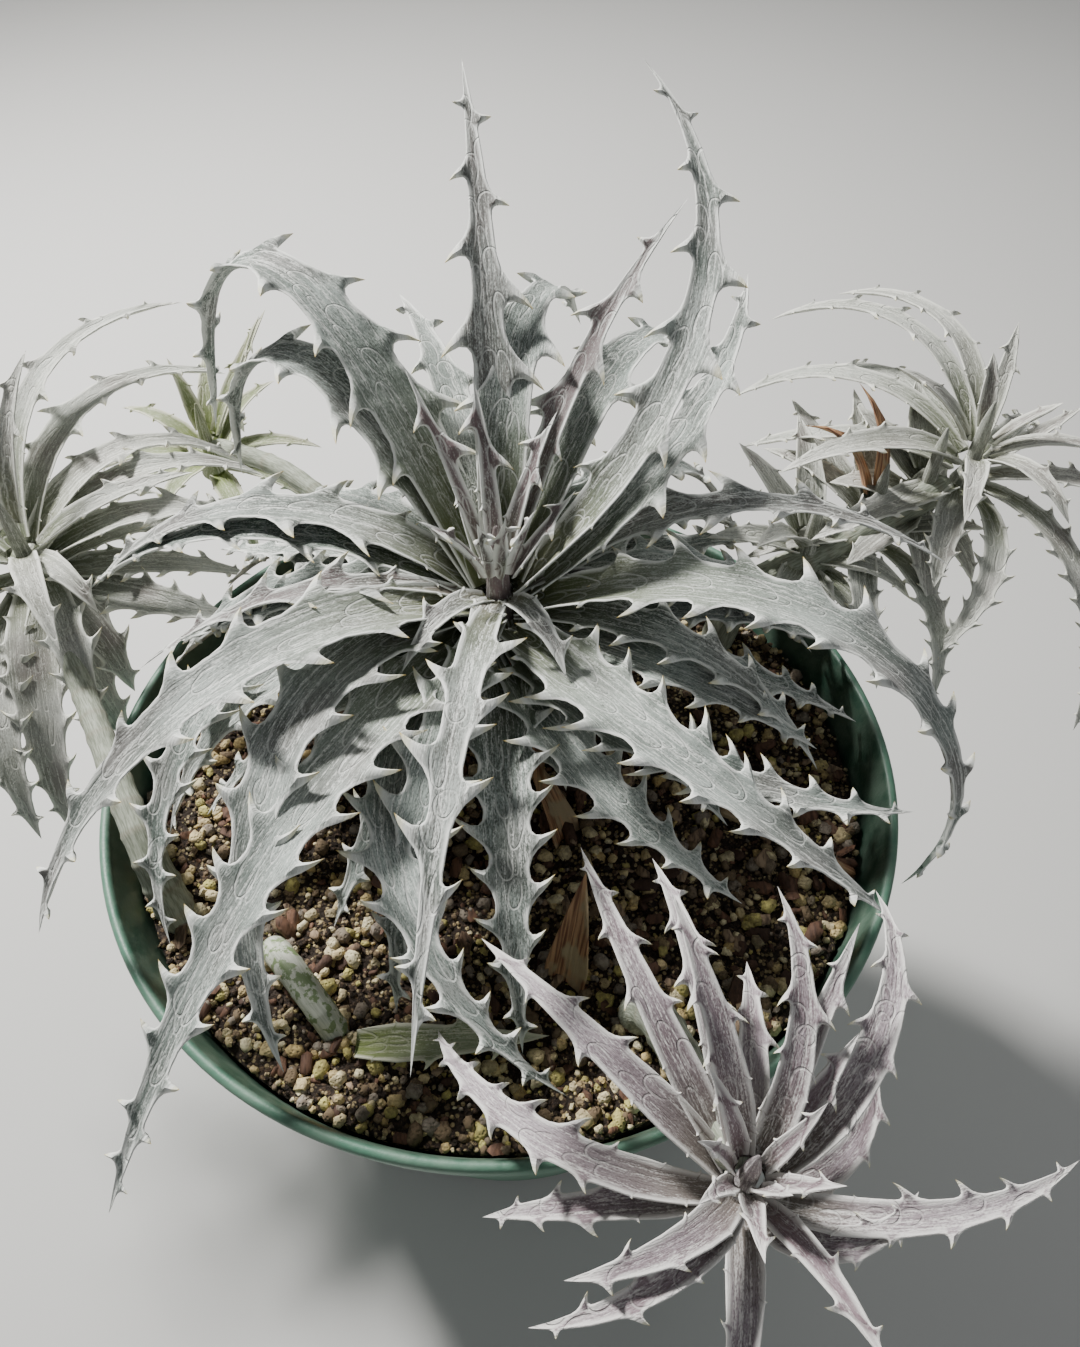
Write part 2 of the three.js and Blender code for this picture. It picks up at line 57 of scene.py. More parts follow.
lens = bpy.data.cameras.new("camera")
lens.lens = CAMERA_LENS
lens.clip_start = 0.01
camera = bpy.data.objects.new("camera", lens)
camera.location = CAMERA_PLACE
camera.rotation_euler = (np.radians(90 - CAMERA_DIPS), 0, 0)
bpy.context.scene.collection.objects.link(camera)
bpy.context.scene.camera = camera

# ---------------------------------------------------------------- floor and light
# A plain pale floor and a plain pale room. The brightest light stands high at the back on the
# left, a weak broad one in front on the right, and a third behind lights the leaf margins.
FLOOR_HALF = 6.0
FLOOR_COLOUR = (0.60, 0.60, 0.585, 1)
ROOM_COLOUR = (0.92, 0.94, 0.96, 1)
ROOM_STRENGTH = 0.185
LIGHTS_AIM = (0.0, 0.0, 0.2)


def link(obj):
    """The object, put into the scene."""
    bpy.context.scene.collection.objects.link(obj)
    return obj


def soft_light(name, place, size, power, colour=(1, 1, 1)):
    """A square area light at place that faces the middle of the clump."""
    lamp = bpy.data.lights.new(name, "AREA")
    lamp.size = size
    lamp.energy = power
    lamp.color = colour
    obj = link(bpy.data.objects.new(name, lamp))
    aim = np.array(LIGHTS_AIM) - np.array(place)
    obj.location = place
    obj.rotation_euler = (np.arctan2(np.hypot(aim[0], aim[1]), -aim[2]), 0,
                          np.arctan2(aim[1], aim[0]) - np.pi / 2)


soft_light("key_light", (-0.66, 0.66, 1.12), size=0.17, power=43, colour=(1.0, 0.98, 0.95))
soft_light("fill_light", (0.95, -0.75, 0.85), size=0.9, power=1.7, colour=(0.94, 0.97, 1.0))
soft_light("back_light", (0.25, 1.1, 0.9), size=0.7, power=2.0)

room = bpy.data.worlds.new("room")
room.use_nodes = True
room_light = room.node_tree.nodes["Background"].inputs
room_light["Color"].default_value = ROOM_COLOUR
room_light["Strength"].default_value = ROOM_STRENGTH
bpy.context.scene.world = room

floor_mesh = bpy.data.meshes.new("floor")
floor_mesh.from_pydata(
    [(-FLOOR_HALF, -FLOOR_HALF, 0), (FLOOR_HALF, -FLOOR_HALF, 0),
     (FLOOR_HALF, FLOOR_HALF, 0), (-FLOOR_HALF, FLOOR_HALF, 0)], [], [(0, 1, 2, 3)])
floor = link(bpy.data.objects.new("floor", floor_mesh))
floor_paint = bpy.data.materials.new("pale_floor")
floor_paint.use_nodes = True
floor_shader = floor_paint.node_tree.nodes["Principled BSDF"]
floor_shader.inputs["Base Color"].default_value = FLOOR_COLOUR
floor_shader.inputs["Roughness"].default_value = 0.9
floor_mesh.materials.append(floor_paint)
floor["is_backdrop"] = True

# ---------------------------------------------------------------- pot
# A ten-inch nursery pot, thermoformed from green plastic: a thin tapered wall, a step under the
# lip, and a lip rolled over at the rim.
POT_HEIGHT = 0.190
POT_RIM_RADIUS = 0.130
POT_BASE_RADIUS = 0.085
POT_WALL = 0.0022
POT_FLOOR = 0.003
LIP_WIDTH = 0.005
LIP_DEPTH = 0.016
LIP_ROUND = 0.0017
POT_GREEN = (0.085, 0.205, 0.140, 1)
# A near-black green, laid on the inside of the pot as painted shade.
POT_PAINTED_SHADE = (0.018, 0.045, 0.030, 1)
POT_DUST = (0.30, 0.36, 0.29, 1)
POT_FOOT = 0.06
TURN_SIDES = 144


def mesh_object(name, points, quads, triangles=(), values=None, sharp=None):
    """A piece from arrays: points (n, 3) in metres, quads (m, 4) and triangles (k, 3) of point
    numbers. values names arrays with one entry of one, three or four numbers a point. Faces are
    smooth, with edges left sharp where they fold by more than sharp degrees."""
    quads = np.asarray(quads, dtype=np.int32).reshape(-1, 4)
    triangles = np.asarray(triangles, dtype=np.int32).reshape(-1, 3)
    mesh = bpy.data.meshes.new(name)
    mesh.vertices.add(len(points))
    mesh.vertices.foreach_set("co", np.asarray(points, dtype=np.float32).ravel())
    corners = np.concatenate([quads.ravel(), triangles.ravel()])
    totals = np.concatenate([np.full(len(quads), 4), np.full(len(triangles), 3)])
    starts = np.concatenate([[0], np.cumsum(totals)[:-1]])
    mesh.loops.add(len(corners))
    mesh.loops.foreach_set("vertex_index", corners)
    mesh.polygons.add(len(totals))
    mesh.polygons.foreach_set("loop_start", starts.astype(np.int32))
    mesh.polygons.foreach_set("loop_total", totals.astype(np.int32))
    mesh.update(calc_edges=True)
    mesh.polygons.foreach_set("use_smooth", np.ones(len(totals), dtype=bool))
    if sharp is not None:
        mesh.set_sharp_from_angle(angle=np.radians(sharp))
    kinds = {1: ("FLOAT", "value"), 3: ("FLOAT_VECTOR", "vector"), 4: ("FLOAT_COLOR", "color")}
    for key, array in (values or {}).items():
        array = np.asarray(array, dtype=np.float32).reshape(len(points), -1)
        kind, field = kinds[array.shape[1]]
        mesh.attributes.new(key, kind, "POINT").data.foreach_set(field, array.ravel())
    mesh.validate()
    return link(bpy.data.objects.new(name, mesh))


def ring_skin(rows, columns):
    """The faces of a skin of closed rings, rows rings of columns points. The quads join each ring
    to the next, and the triangles join the first and the last ring to two poles, which are the
    two points after the rings' own."""
    count = rows * columns
    here = np.arange(count - columns).reshape(-1, columns)
    right = np.roll(here, -1, axis=1)
    quads = np.stack([here, right, right + columns, here + columns], axis=-1).reshape(-1, 4)
    first = np.arange(columns)
    last = first + count - columns
    ends = np.vstack([
        np.stack([np.roll(first, -1), first, np.full(columns, count)], axis=-1),
        np.stack([last, np.roll(last, -1), np.full(columns, count + 1)], axis=-1)])
    return quads, ends


def turned(profile, sides=TURN_SIDES):
    """A profile of (radius, height) rows turned about Z: each row becomes a ring of points at
    radius (cos angle, sin angle). A radius of 0 at either end closes it with one pole."""
    profile = np.asarray(profile, dtype=float)
    rings = profile[1:-1]
    angle = np.arange(sides) * 2 * np.pi / sides
    points = np.stack([rings[:, :1] * np.cos(angle), rings[:, :1] * np.sin(angle),
                       np.repeat(rings[:, 1:], sides, axis=1)], axis=-1).reshape(-1, 3)
    points = np.vstack([points, (0, 0, profile[0, 1]), (0, 0, profile[-1, 1])])
    return points, *ring_skin(len(rings), sides)


def feed(tree, socket, value):
    """A value given as a socket is linked to the socket, any other is set on it."""
    if isinstance(value, bpy.types.NodeSocket):
        tree.links.new(value, socket)
    else:
        socket.default_value = value


def shader_node(tree, kind, settings=None, **inputs):
    """A node with its settings. Its inputs go by their names, or by numbers as in i0."""
    made = tree.nodes.new("ShaderNode" + kind)
    for key, value in (settings or {}).items():
        setattr(made, key, value)
    for key, value in inputs.items():
        feed(tree, made.inputs[int(key[1:]) if key[1:].isdigit() else key.replace("_", " ")], value)
    return made


def calc(tree, operation, *operands, clamp=False):
    """One sum of the shader: a Math node on numbers or sockets."""
    inputs = {f"i{k}": value for k, value in enumerate(operands)}
    return shader_node(tree, "Math", {"operation": operation, "use_clamp": clamp}, **inputs).outputs[0]


def blend_colour(tree, factor, first, second):
    """first turned towards second by factor, as colours."""
    return shader_node(tree, "Mix", {"data_type": "RGBA"}, i0=factor, i6=first, i7=second).outputs[2]


def ramp_between(tree, value, low, high, start=0.0, end=1.0):
    """value carried smoothly from start, where it is low, to end, where it is high."""
    made = shader_node(tree, "MapRange", {"interpolation_type": "SMOOTHSTEP"}, Value=value,
                       From_Min=low, From_Max=high, To_Min=start, To_Max=end)
    return made.outputs["Result"]


def new_material(name, roughness, **plain):
    """A material with its Principled shader: the tree, the shader and the material."""
    made = bpy.data.materials.new(name)
    made.use_nodes = True
    tree = made.node_tree
    shader = tree.nodes["Principled BSDF"]
    shader.inputs["Roughness"].default_value = roughness
    for key, value in plain.items():
        shader.inputs[key.replace("_", " ")].default_value = value
    return tree, shader, made


def node_group(name, inputs, outputs):
    """A shader node group with named inputs of (name, kind, value) and outputs of (name, kind)."""
    group = bpy.data.node_groups.new(name, "ShaderNodeTree")
    for label, kind, value in inputs:
        socket = group.interface.new_socket(label, in_out="INPUT", socket_type="NodeSocket" + kind)
        socket.default_value = value
    for label, kind in outputs:
        group.interface.new_socket(label, in_out="OUTPUT", socket_type="NodeSocket" + kind)
    entry = group.nodes.new("NodeGroupInput").outputs
    leave = group.nodes.new("NodeGroupOutput").inputs
    return group, entry, leave


def place_group(tree, group, **inputs):
    """The outputs of a node group that is placed with the inputs given by name."""
    return shader_node(tree, "Group", {"node_tree": group}, **inputs).outputs


def stored_parts(tree, name, kind="XYZ"):
    """The X, Y and Z of a stored vector or, for the kind Color, the parts of a stored colour."""
    stored = shader_node(tree, "Attribute", {"attribute_name": name}).outputs
    return shader_node(tree, "Separate" + kind, i0=stored["Vector" if kind == "XYZ" else kind]).outputs


def lay_on(tree, shader, colour, relief, strength, distance):
    """Lays a colour on the shader, and a relief as a bump of up to distance in metres."""
    tree.links.new(colour, shader.inputs["Base Color"])
    bump = shader_node(tree, "Bump", Strength=strength, Distance=distance, Height=relief)
    tree.links.new(bump.outputs[0], shader.inputs["Normal"])


# Mottling: two sizes of cloudy noise on Object coordinates, for dust, damp and stain.
mottle, mottle_in, mottle_out = node_group(
    "mottle",
    [("Vector", "Vector", (0, 0, 0)), ("Size", "Float", 0.01), ("Softness", "Float", 0.2)],
    [("Mask", "Float")])
mottle_scaled = shader_node(mottle, "VectorMath", {"operation": "DIVIDE"}, i0=mottle_in["Vector"])
mottle_size = shader_node(mottle, "CombineXYZ", X=mottle_in["Size"], Y=mottle_in["Size"],
                          Z=mottle_in["Size"])
mottle.links.new(mottle_size.outputs[0], mottle_scaled.inputs[1])
mottle_cloud = shader_node(mottle, "TexNoise", Vector=mottle_scaled.outputs[0], Scale=1.0,
                           Detail=5.0, Roughness=0.62)
mottle_low = calc(mottle, "SUBTRACT", 0.5, mottle_in["Softness"])
mottle_high = calc(mottle, "ADD", 0.5, mottle_in["Softness"])
mottle.links.new(ramp_between(mottle, mottle_cloud.outputs["Fac"], mottle_low, mottle_high),
                 mottle_out["Mask"])


def mottled(tree, size, softness):
    """The mottling on the piece's own Object coordinates, with clouds of size metres."""
    where = shader_node(tree, "TexCoord").outputs["Object"]
    return place_group(tree, mottle, Vector=where, Size=size, Softness=softness)["Mask"]


pot_wall_top = POT_HEIGHT - LIP_DEPTH
pot_inner = POT_RIM_RADIUS - LIP_WIDTH


def wall_radius(height):
    """The outside radius of the tapered wall, which grows evenly from the base to the lip."""
    return POT_BASE_RADIUS + (pot_inner - POT_BASE_RADIUS) * height / pot_wall_top


lip_turn = np.linspace(0, 1, 9)
lip_roll = np.stack([POT_RIM_RADIUS - LIP_ROUND + LIP_ROUND * np.cos(np.pi * lip_turn),
                     POT_HEIGHT - LIP_ROUND + LIP_ROUND * np.sin(np.pi * lip_turn)], axis=-1)
pot_profile = np.vstack([
    (0, 0), (POT_FOOT, 0), (POT_BASE_RADIUS - 0.003, 0), (POT_BASE_RADIUS - 0.0009, 0.0009),
    (POT_BASE_RADIUS, 0.003), (wall_radius(0.02), 0.02), (wall_radius(0.09), 0.09),
    (wall_radius(pot_wall_top - 0.004), pot_wall_top - 0.004),
    (wall_radius(pot_wall_top), pot_wall_top), (POT_RIM_RADIUS - 0.0034, pot_wall_top + 0.0006),
    (POT_RIM_RADIUS - 0.0026, pot_wall_top + 0.0018),
    lip_roll,
    (pot_inner - 0.0004, POT_HEIGHT - 0.0075), (pot_inner - POT_WALL, pot_wall_top),
    (wall_radius(0.09) - POT_WALL, 0.09), (wall_radius(POT_FLOOR) - POT_WALL, POT_FLOOR),
    (POT_FOOT, POT_FLOOR), (0, POT_FLOOR)])
pot = mesh_object("pot_body", *turned(pot_profile), sharp=50)


def hypotenuse(tree, first, second):
    """The square root of first squared plus second squared."""
    return calc(tree, "SQRT", calc(tree, "ADD", calc(tree, "MULTIPLY", first, first),
                                   calc(tree, "MULTIPLY", second, second)))


tree, shader, pot_plastic = new_material("pot_plastic", 0.5)
where = shader_node(tree, "TexCoord").outputs["Object"]
spot_x, spot_y, height = shader_node(tree, "SeparateXYZ", i0=where).outputs
past_wall = calc(tree, "SUBTRACT", hypotenuse(tree, spot_x, spot_y), calc(
    tree, "MULTIPLY_ADD", height, (pot_inner - POT_BASE_RADIUS) / pot_wall_top, POT_BASE_RADIUS))
# Inside the wall's outer face, on the inner wall, the inner face of the lip and the floor, the green is
# darkened: painted shade inside the pot.
painted_inner_shade = ramp_between(tree, past_wall, -0.0005, -0.0017)
splash = ramp_between(tree, height, 0.07, 0.0, 0.0, 0.5)
dirty = calc(tree, "MULTIPLY", mottled(tree, 0.009, 0.16), calc(tree, "ADD", splash, 0.22), clamp=True)
pot_colour = blend_colour(tree, calc(tree, "MULTIPLY", painted_inner_shade, 0.75), POT_GREEN, POT_PAINTED_SHADE)
pot_colour = blend_colour(tree, dirty, pot_colour, POT_DUST)
tree.links.new(calc(tree, "MULTIPLY_ADD", dirty, 0.5, 0.42), shader.inputs["Roughness"])
lay_on(tree, shader, pot_colour, mottled(tree, 0.0012, 0.1), 0.12, 0.0003)
pot.data.materials.append(pot_plastic)
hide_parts("pot")
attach(pot, "root")

# ---------------------------------------------------------------- potting mix
# A gritty mix: a dark bed of peat, crumbs of peat and bark fines on it, reddish bark chips, and
# rounded grains of cream and yellow pumice, which lie thickest towards the front of the pot.
MIX_TOP = 0.172
MIX_RADIUS = 0.1207
GRAIN_SPREAD = 0.1208
PUMICE_GRAINS = 4200
BARK_CHIPS = 1100
PEAT_CRUMBS = 4200
PEAT_DARK, PEAT_LIGHT = (0.030, 0.019, 0.012, 1), (0.115, 0.072, 0.044, 1)
GRIT_DARK, GRIT_LIGHT = (0.16, 0.10, 0.055, 1), (0.62, 0.50, 0.27, 1)
CREAM_DARK, CREAM_LIGHT = (0.62, 0.46, 0.19, 1), (0.88, 0.80, 0.52, 1)
BARK_DARK, BARK_LIGHT = (0.055, 0.028, 0.018, 1), (0.19, 0.095, 0.055, 1)


def lumps(x, y):
    """The bed's height above its level: broad swells with finer ones on them, as sums of waves."""
    broad = np.sin(90 * x + 1.3) * np.sin(80 * y + 0.4)
    fine = np.sin(310 * x + 170 * y) * np.cos(270 * y - 120 * x)
    small = np.sin(900 * x - 420 * y + 1.0) * np.sin(820 * y + 330 * x)
    return 0.0013 * broad + 0.0008 * fine + 0.0005 * small


bed_radii = np.linspace(0, 1, 46)[1:]
bed_profile = np.vstack([
    (0, 0.0034), (wall_radius(0.0034) - POT_WALL - 0.003, 0.0034),
    (wall_radius(0.0054) - POT_WALL - 0.0008, 0.0054), (MIX_RADIUS, MIX_TOP - 0.002),
    np.stack([MIX_RADIUS * 0.995 * bed_radii[::-1], np.full(len(bed_radii), MIX_TOP)], axis=-1),
    (0, MIX_TOP)])
bed_points, bed_quads, bed_ends = turned(bed_profile, 96)
on_top = bed_points[:, 2] > MIX_TOP - 0.0001
bed_points[on_top, 2] += lumps(bed_points[on_top, 0], bed_points[on_top, 1])
mix_bed = mesh_object("peat_bed", bed_points, bed_quads, bed_ends, sharp=60)


def pebbles(count, rows, columns, squareness, rng):
    """Unit stones, one a row of the first axis: points on a grid of latitude by longitude, whose
    radius is 1 plus three waves of the stone's own, and whose sines and cosines are raised to
    squareness, so that a low power makes a slab. Poles close both ends."""
    latitude = np.linspace(-np.pi / 2, np.pi / 2, rows + 2)[1:-1, None]
    longitude = np.arange(columns)[None, :] * 2 * np.pi / columns

    def power(value):
        return np.sign(value) * np.abs(value) ** squareness

    flat = np.stack([power(np.cos(latitude)) * power(np.cos(longitude)),
                     power(np.cos(latitude)) * power(np.sin(longitude)),
                     power(np.sin(latitude)) * np.ones_like(longitude)], axis=-1).reshape(-1, 3)
    unit = np.vstack([flat, (0, 0, -1), (0, 0, 1)])
    waves = rng.normal(size=(count, 3, 3)) * 2.0
    shift = rng.uniform(0, 2 * np.pi, size=(count, 1, 3))
    swell = 1 + 0.12 * np.sin(unit @ waves.transpose(0, 2, 1) + shift).sum(axis=-1, keepdims=True)
    return unit[None] * swell, *ring_skin(rows, columns)


def turns(count, tilt, rng):
    """count rotation matrices: a tilt of up to tilt degrees about a level axis, after a free turn
    about the upright, as the product of the three plane rotations."""
    spin = rng.uniform(0, 2 * np.pi, count)
    lean = np.radians(tilt) * rng.uniform(-1, 1, count)
    last = rng.uniform(0, 2 * np.pi, count)
    zero, one = np.zeros(count), np.ones(count)

    def about_z(angle):
        c, s = np.cos(angle), np.sin(angle)
        return np.stack([c, -s, zero, s, c, zero, zero, zero, one], axis=-1).reshape(-1, 3, 3)

    c, s = np.cos(lean), np.sin(lean)
    about_x = np.stack([one, zero, zero, zero, c, -s, zero, s, c], axis=-1).reshape(-1, 3, 3)
    return about_z(last) @ about_x @ about_z(spin)


def scattered(count, towards_front, rng):
    """Places on the bed. Two steady fractions of the turn, added up again and again, fill the unit
    square evenly; they become an angle and a squared radius on the disc. Places are then kept more
    often towards the front."""
    number = np.arange(16 * count) + rng.integers(1000, 9000)
    radius = GRAIN_SPREAD * np.sqrt(number * 0.7548776662 % 1)
    angle = 2 * np.pi * (number * 0.5698402909 % 1)
    spots = np.stack([radius * np.cos(angle), radius * np.sin(angle)], axis=-1)
    wanted = np.exp(-towards_front * (spots[:, 1] / GRAIN_SPREAD + 1))
    spots = spots[rng.uniform(size=len(spots)) < wanted * np.minimum(1, count / wanted.sum())]
    return spots[:count] if len(spots) >= count else np.vstack([spots, spots[:count - len(spots)]])


def strewn(name, count, smallest, largest, shape, squareness, tilt, towards_front, sunk, seed,
           rows, columns):
    """Loose pieces on the bed as one object: pebbles scaled by size and shape, turned, and set on
    the lumps, sunk by a part of their size. The tint attribute holds three draws for each."""
    rng = np.random.default_rng(seed)
    size = smallest + (largest - smallest) * rng.uniform(size=count) ** 2.6
    unit, quads, ends = pebbles(count, rows, columns, squareness, rng)
    spots = scattered(count, towards_front, rng)
    spots *= np.minimum(1, (GRAIN_SPREAD - 0.6 * size) / np.hypot(spots[:, 0], spots[:, 1]))[:, None]
    stretch = 1 + (np.asarray(shape) - 1) * rng.uniform(0.7, 1.2, size=(count, 3))
    body = (unit * stretch[:, None] * size[:, None, None]) @ turns(count, tilt, rng).transpose(0, 2, 1)
    level = MIX_TOP + lumps(spots[:, 0], spots[:, 1]) + size * (0.55 - sunk) * rng.uniform(0.4, 1.3, count)
    body = body + np.concatenate([spots, level[:, None]], axis=1)[:, None]
    each = unit.shape[1]
    offset = (np.arange(count) * each)[:, None, None]
    tint = np.repeat(rng.uniform(size=(count, 3)), each, axis=0)
    return mesh_object(name, body.reshape(-1, 3), (quads[None] + offset).reshape(-1, 4),
                       (ends[None] + offset).reshape(-1, 3), values={"tint": tint}, sharp=75)


pumice = strewn("pumice_grains", PUMICE_GRAINS, 0.0006, 0.0026, (1.2, 0.9, 0.75), squareness=0.75,
                tilt=60, towards_front=0.55, sunk=0.1, seed=5, rows=3, columns=6)
bark = strewn("bark_chips", BARK_CHIPS, 0.0009, 0.0038, (1.35, 0.7, 0.3), squareness=0.55,
              tilt=50, towards_front=0.0, sunk=0.0, seed=8, rows=3, columns=6)
crumbs = strewn("peat_crumbs", PEAT_CRUMBS, 0.0005, 0.0017, (1.3, 0.85, 0.6), squareness=0.7,
                tilt=80, towards_front=0.3, sunk=0.1, seed=12, rows=3, columns=5)

tree, shader, peat = new_material("damp_peat", 0.9)
where = shader_node(tree, "TexCoord").outputs["Object"]
grit = shader_node(tree, "TexVoronoi", Vector=where, Scale=720.0)
grit_draws = shader_node(tree, "SeparateColor", i0=grit.outputs["Color"]).outputs
peat_colour = blend_colour(tree, mottled(tree, 0.004, 0.14), PEAT_DARK, PEAT_LIGHT)
grit_colour = blend_colour(tree, grit_draws[1], GRIT_DARK, GRIT_LIGHT)
peat_colour = blend_colour(tree, ramp_between(tree, grit_draws[0], 0.55, 0.62), peat_colour, grit_colour)
# Towards the rim of each grit cell the colour goes to dark peat: the dark peat between the grits, with
# painted shade in the gaps.
peat_colour = blend_colour(tree, ramp_between(tree, grit.outputs["Distance"], 0.35, 0.6), peat_colour,
                           PEAT_DARK)
peat_height = calc(tree, "SUBTRACT", calc(tree, "MULTIPLY", mottled(tree, 0.0009, 0.12), 0.5),
                   grit.outputs["Distance"])
lay_on(tree, shader, peat_colour, peat_height, 0.9, 0.0012)
mix_bed.data.materials.append(peat)
crumbs.data.materials.append(peat)

tree, shader, pumice_stone = new_material("pumice", 0.92)
where = shader_node(tree, "TexCoord").outputs["Object"]
draws = stored_parts(tree, "tint")
grain_colour = blend_colour(tree, draws["X"], CREAM_DARK, CREAM_LIGHT)
for draw, low, high, other in (("Y", 0.45, 0.6, (0.20, 0.145, 0.085, 1)),
                               ("Y", 0.78, 0.86, (0.30, 0.26, 0.21, 1)),
                               ("Z", 0.86, 0.9, (0.56, 0.50, 0.17, 1))):
    grain_colour = blend_colour(tree, ramp_between(tree, draws[draw], low, high), grain_colour, other)
pit = shader_node(tree, "TexVoronoi", Vector=where, Scale=900.0)
pits = ramp_between(tree, pit.outputs["Distance"], 0.1, 0.55)
soil = calc(tree, "MULTIPLY", mottled(tree, 0.0022, 0.16), 0.6)
grain_colour = blend_colour(tree, soil, grain_colour, (0.10, 0.065, 0.04, 1))
lay_on(tree, shader, grain_colour, pits, 0.7, 0.0005)
pumice.data.materials.append(pumice_stone)

tree, shader, bark_wood = new_material("bark", 0.8)
where = shader_node(tree, "TexCoord").outputs["Object"]
draws = stored_parts(tree, "tint")
rusty = blend_colour(tree, draws["X"], BARK_DARK, BARK_LIGHT)
rusty = blend_colour(tree, ramp_between(tree, draws["Y"], 0.7, 0.85), rusty, (0.36, 0.26, 0.17, 1))
fibre_at = shader_node(tree, "Mapping", i0=where, Scale=(1, 0.22, 1), Rotation=(0, 0, 0.6))
fibre = shader_node(tree, "TexNoise", Vector=fibre_at.outputs[0], Scale=900.0,
                    Detail=4.0).outputs["Fac"]
rusty = blend_colour(tree, ramp_between(tree, fibre, 0.4, 0.65, 0, 0.7), rusty, (0.035, 0.016, 0.010, 1))
lay_on(tree, shader, rusty, fibre, 0.8, 0.0006)
bark.data.materials.append(bark_wood)

for piece in (mix_bed, crumbs, pumice, bark):
    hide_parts("potting_mix")
    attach(piece, "root")

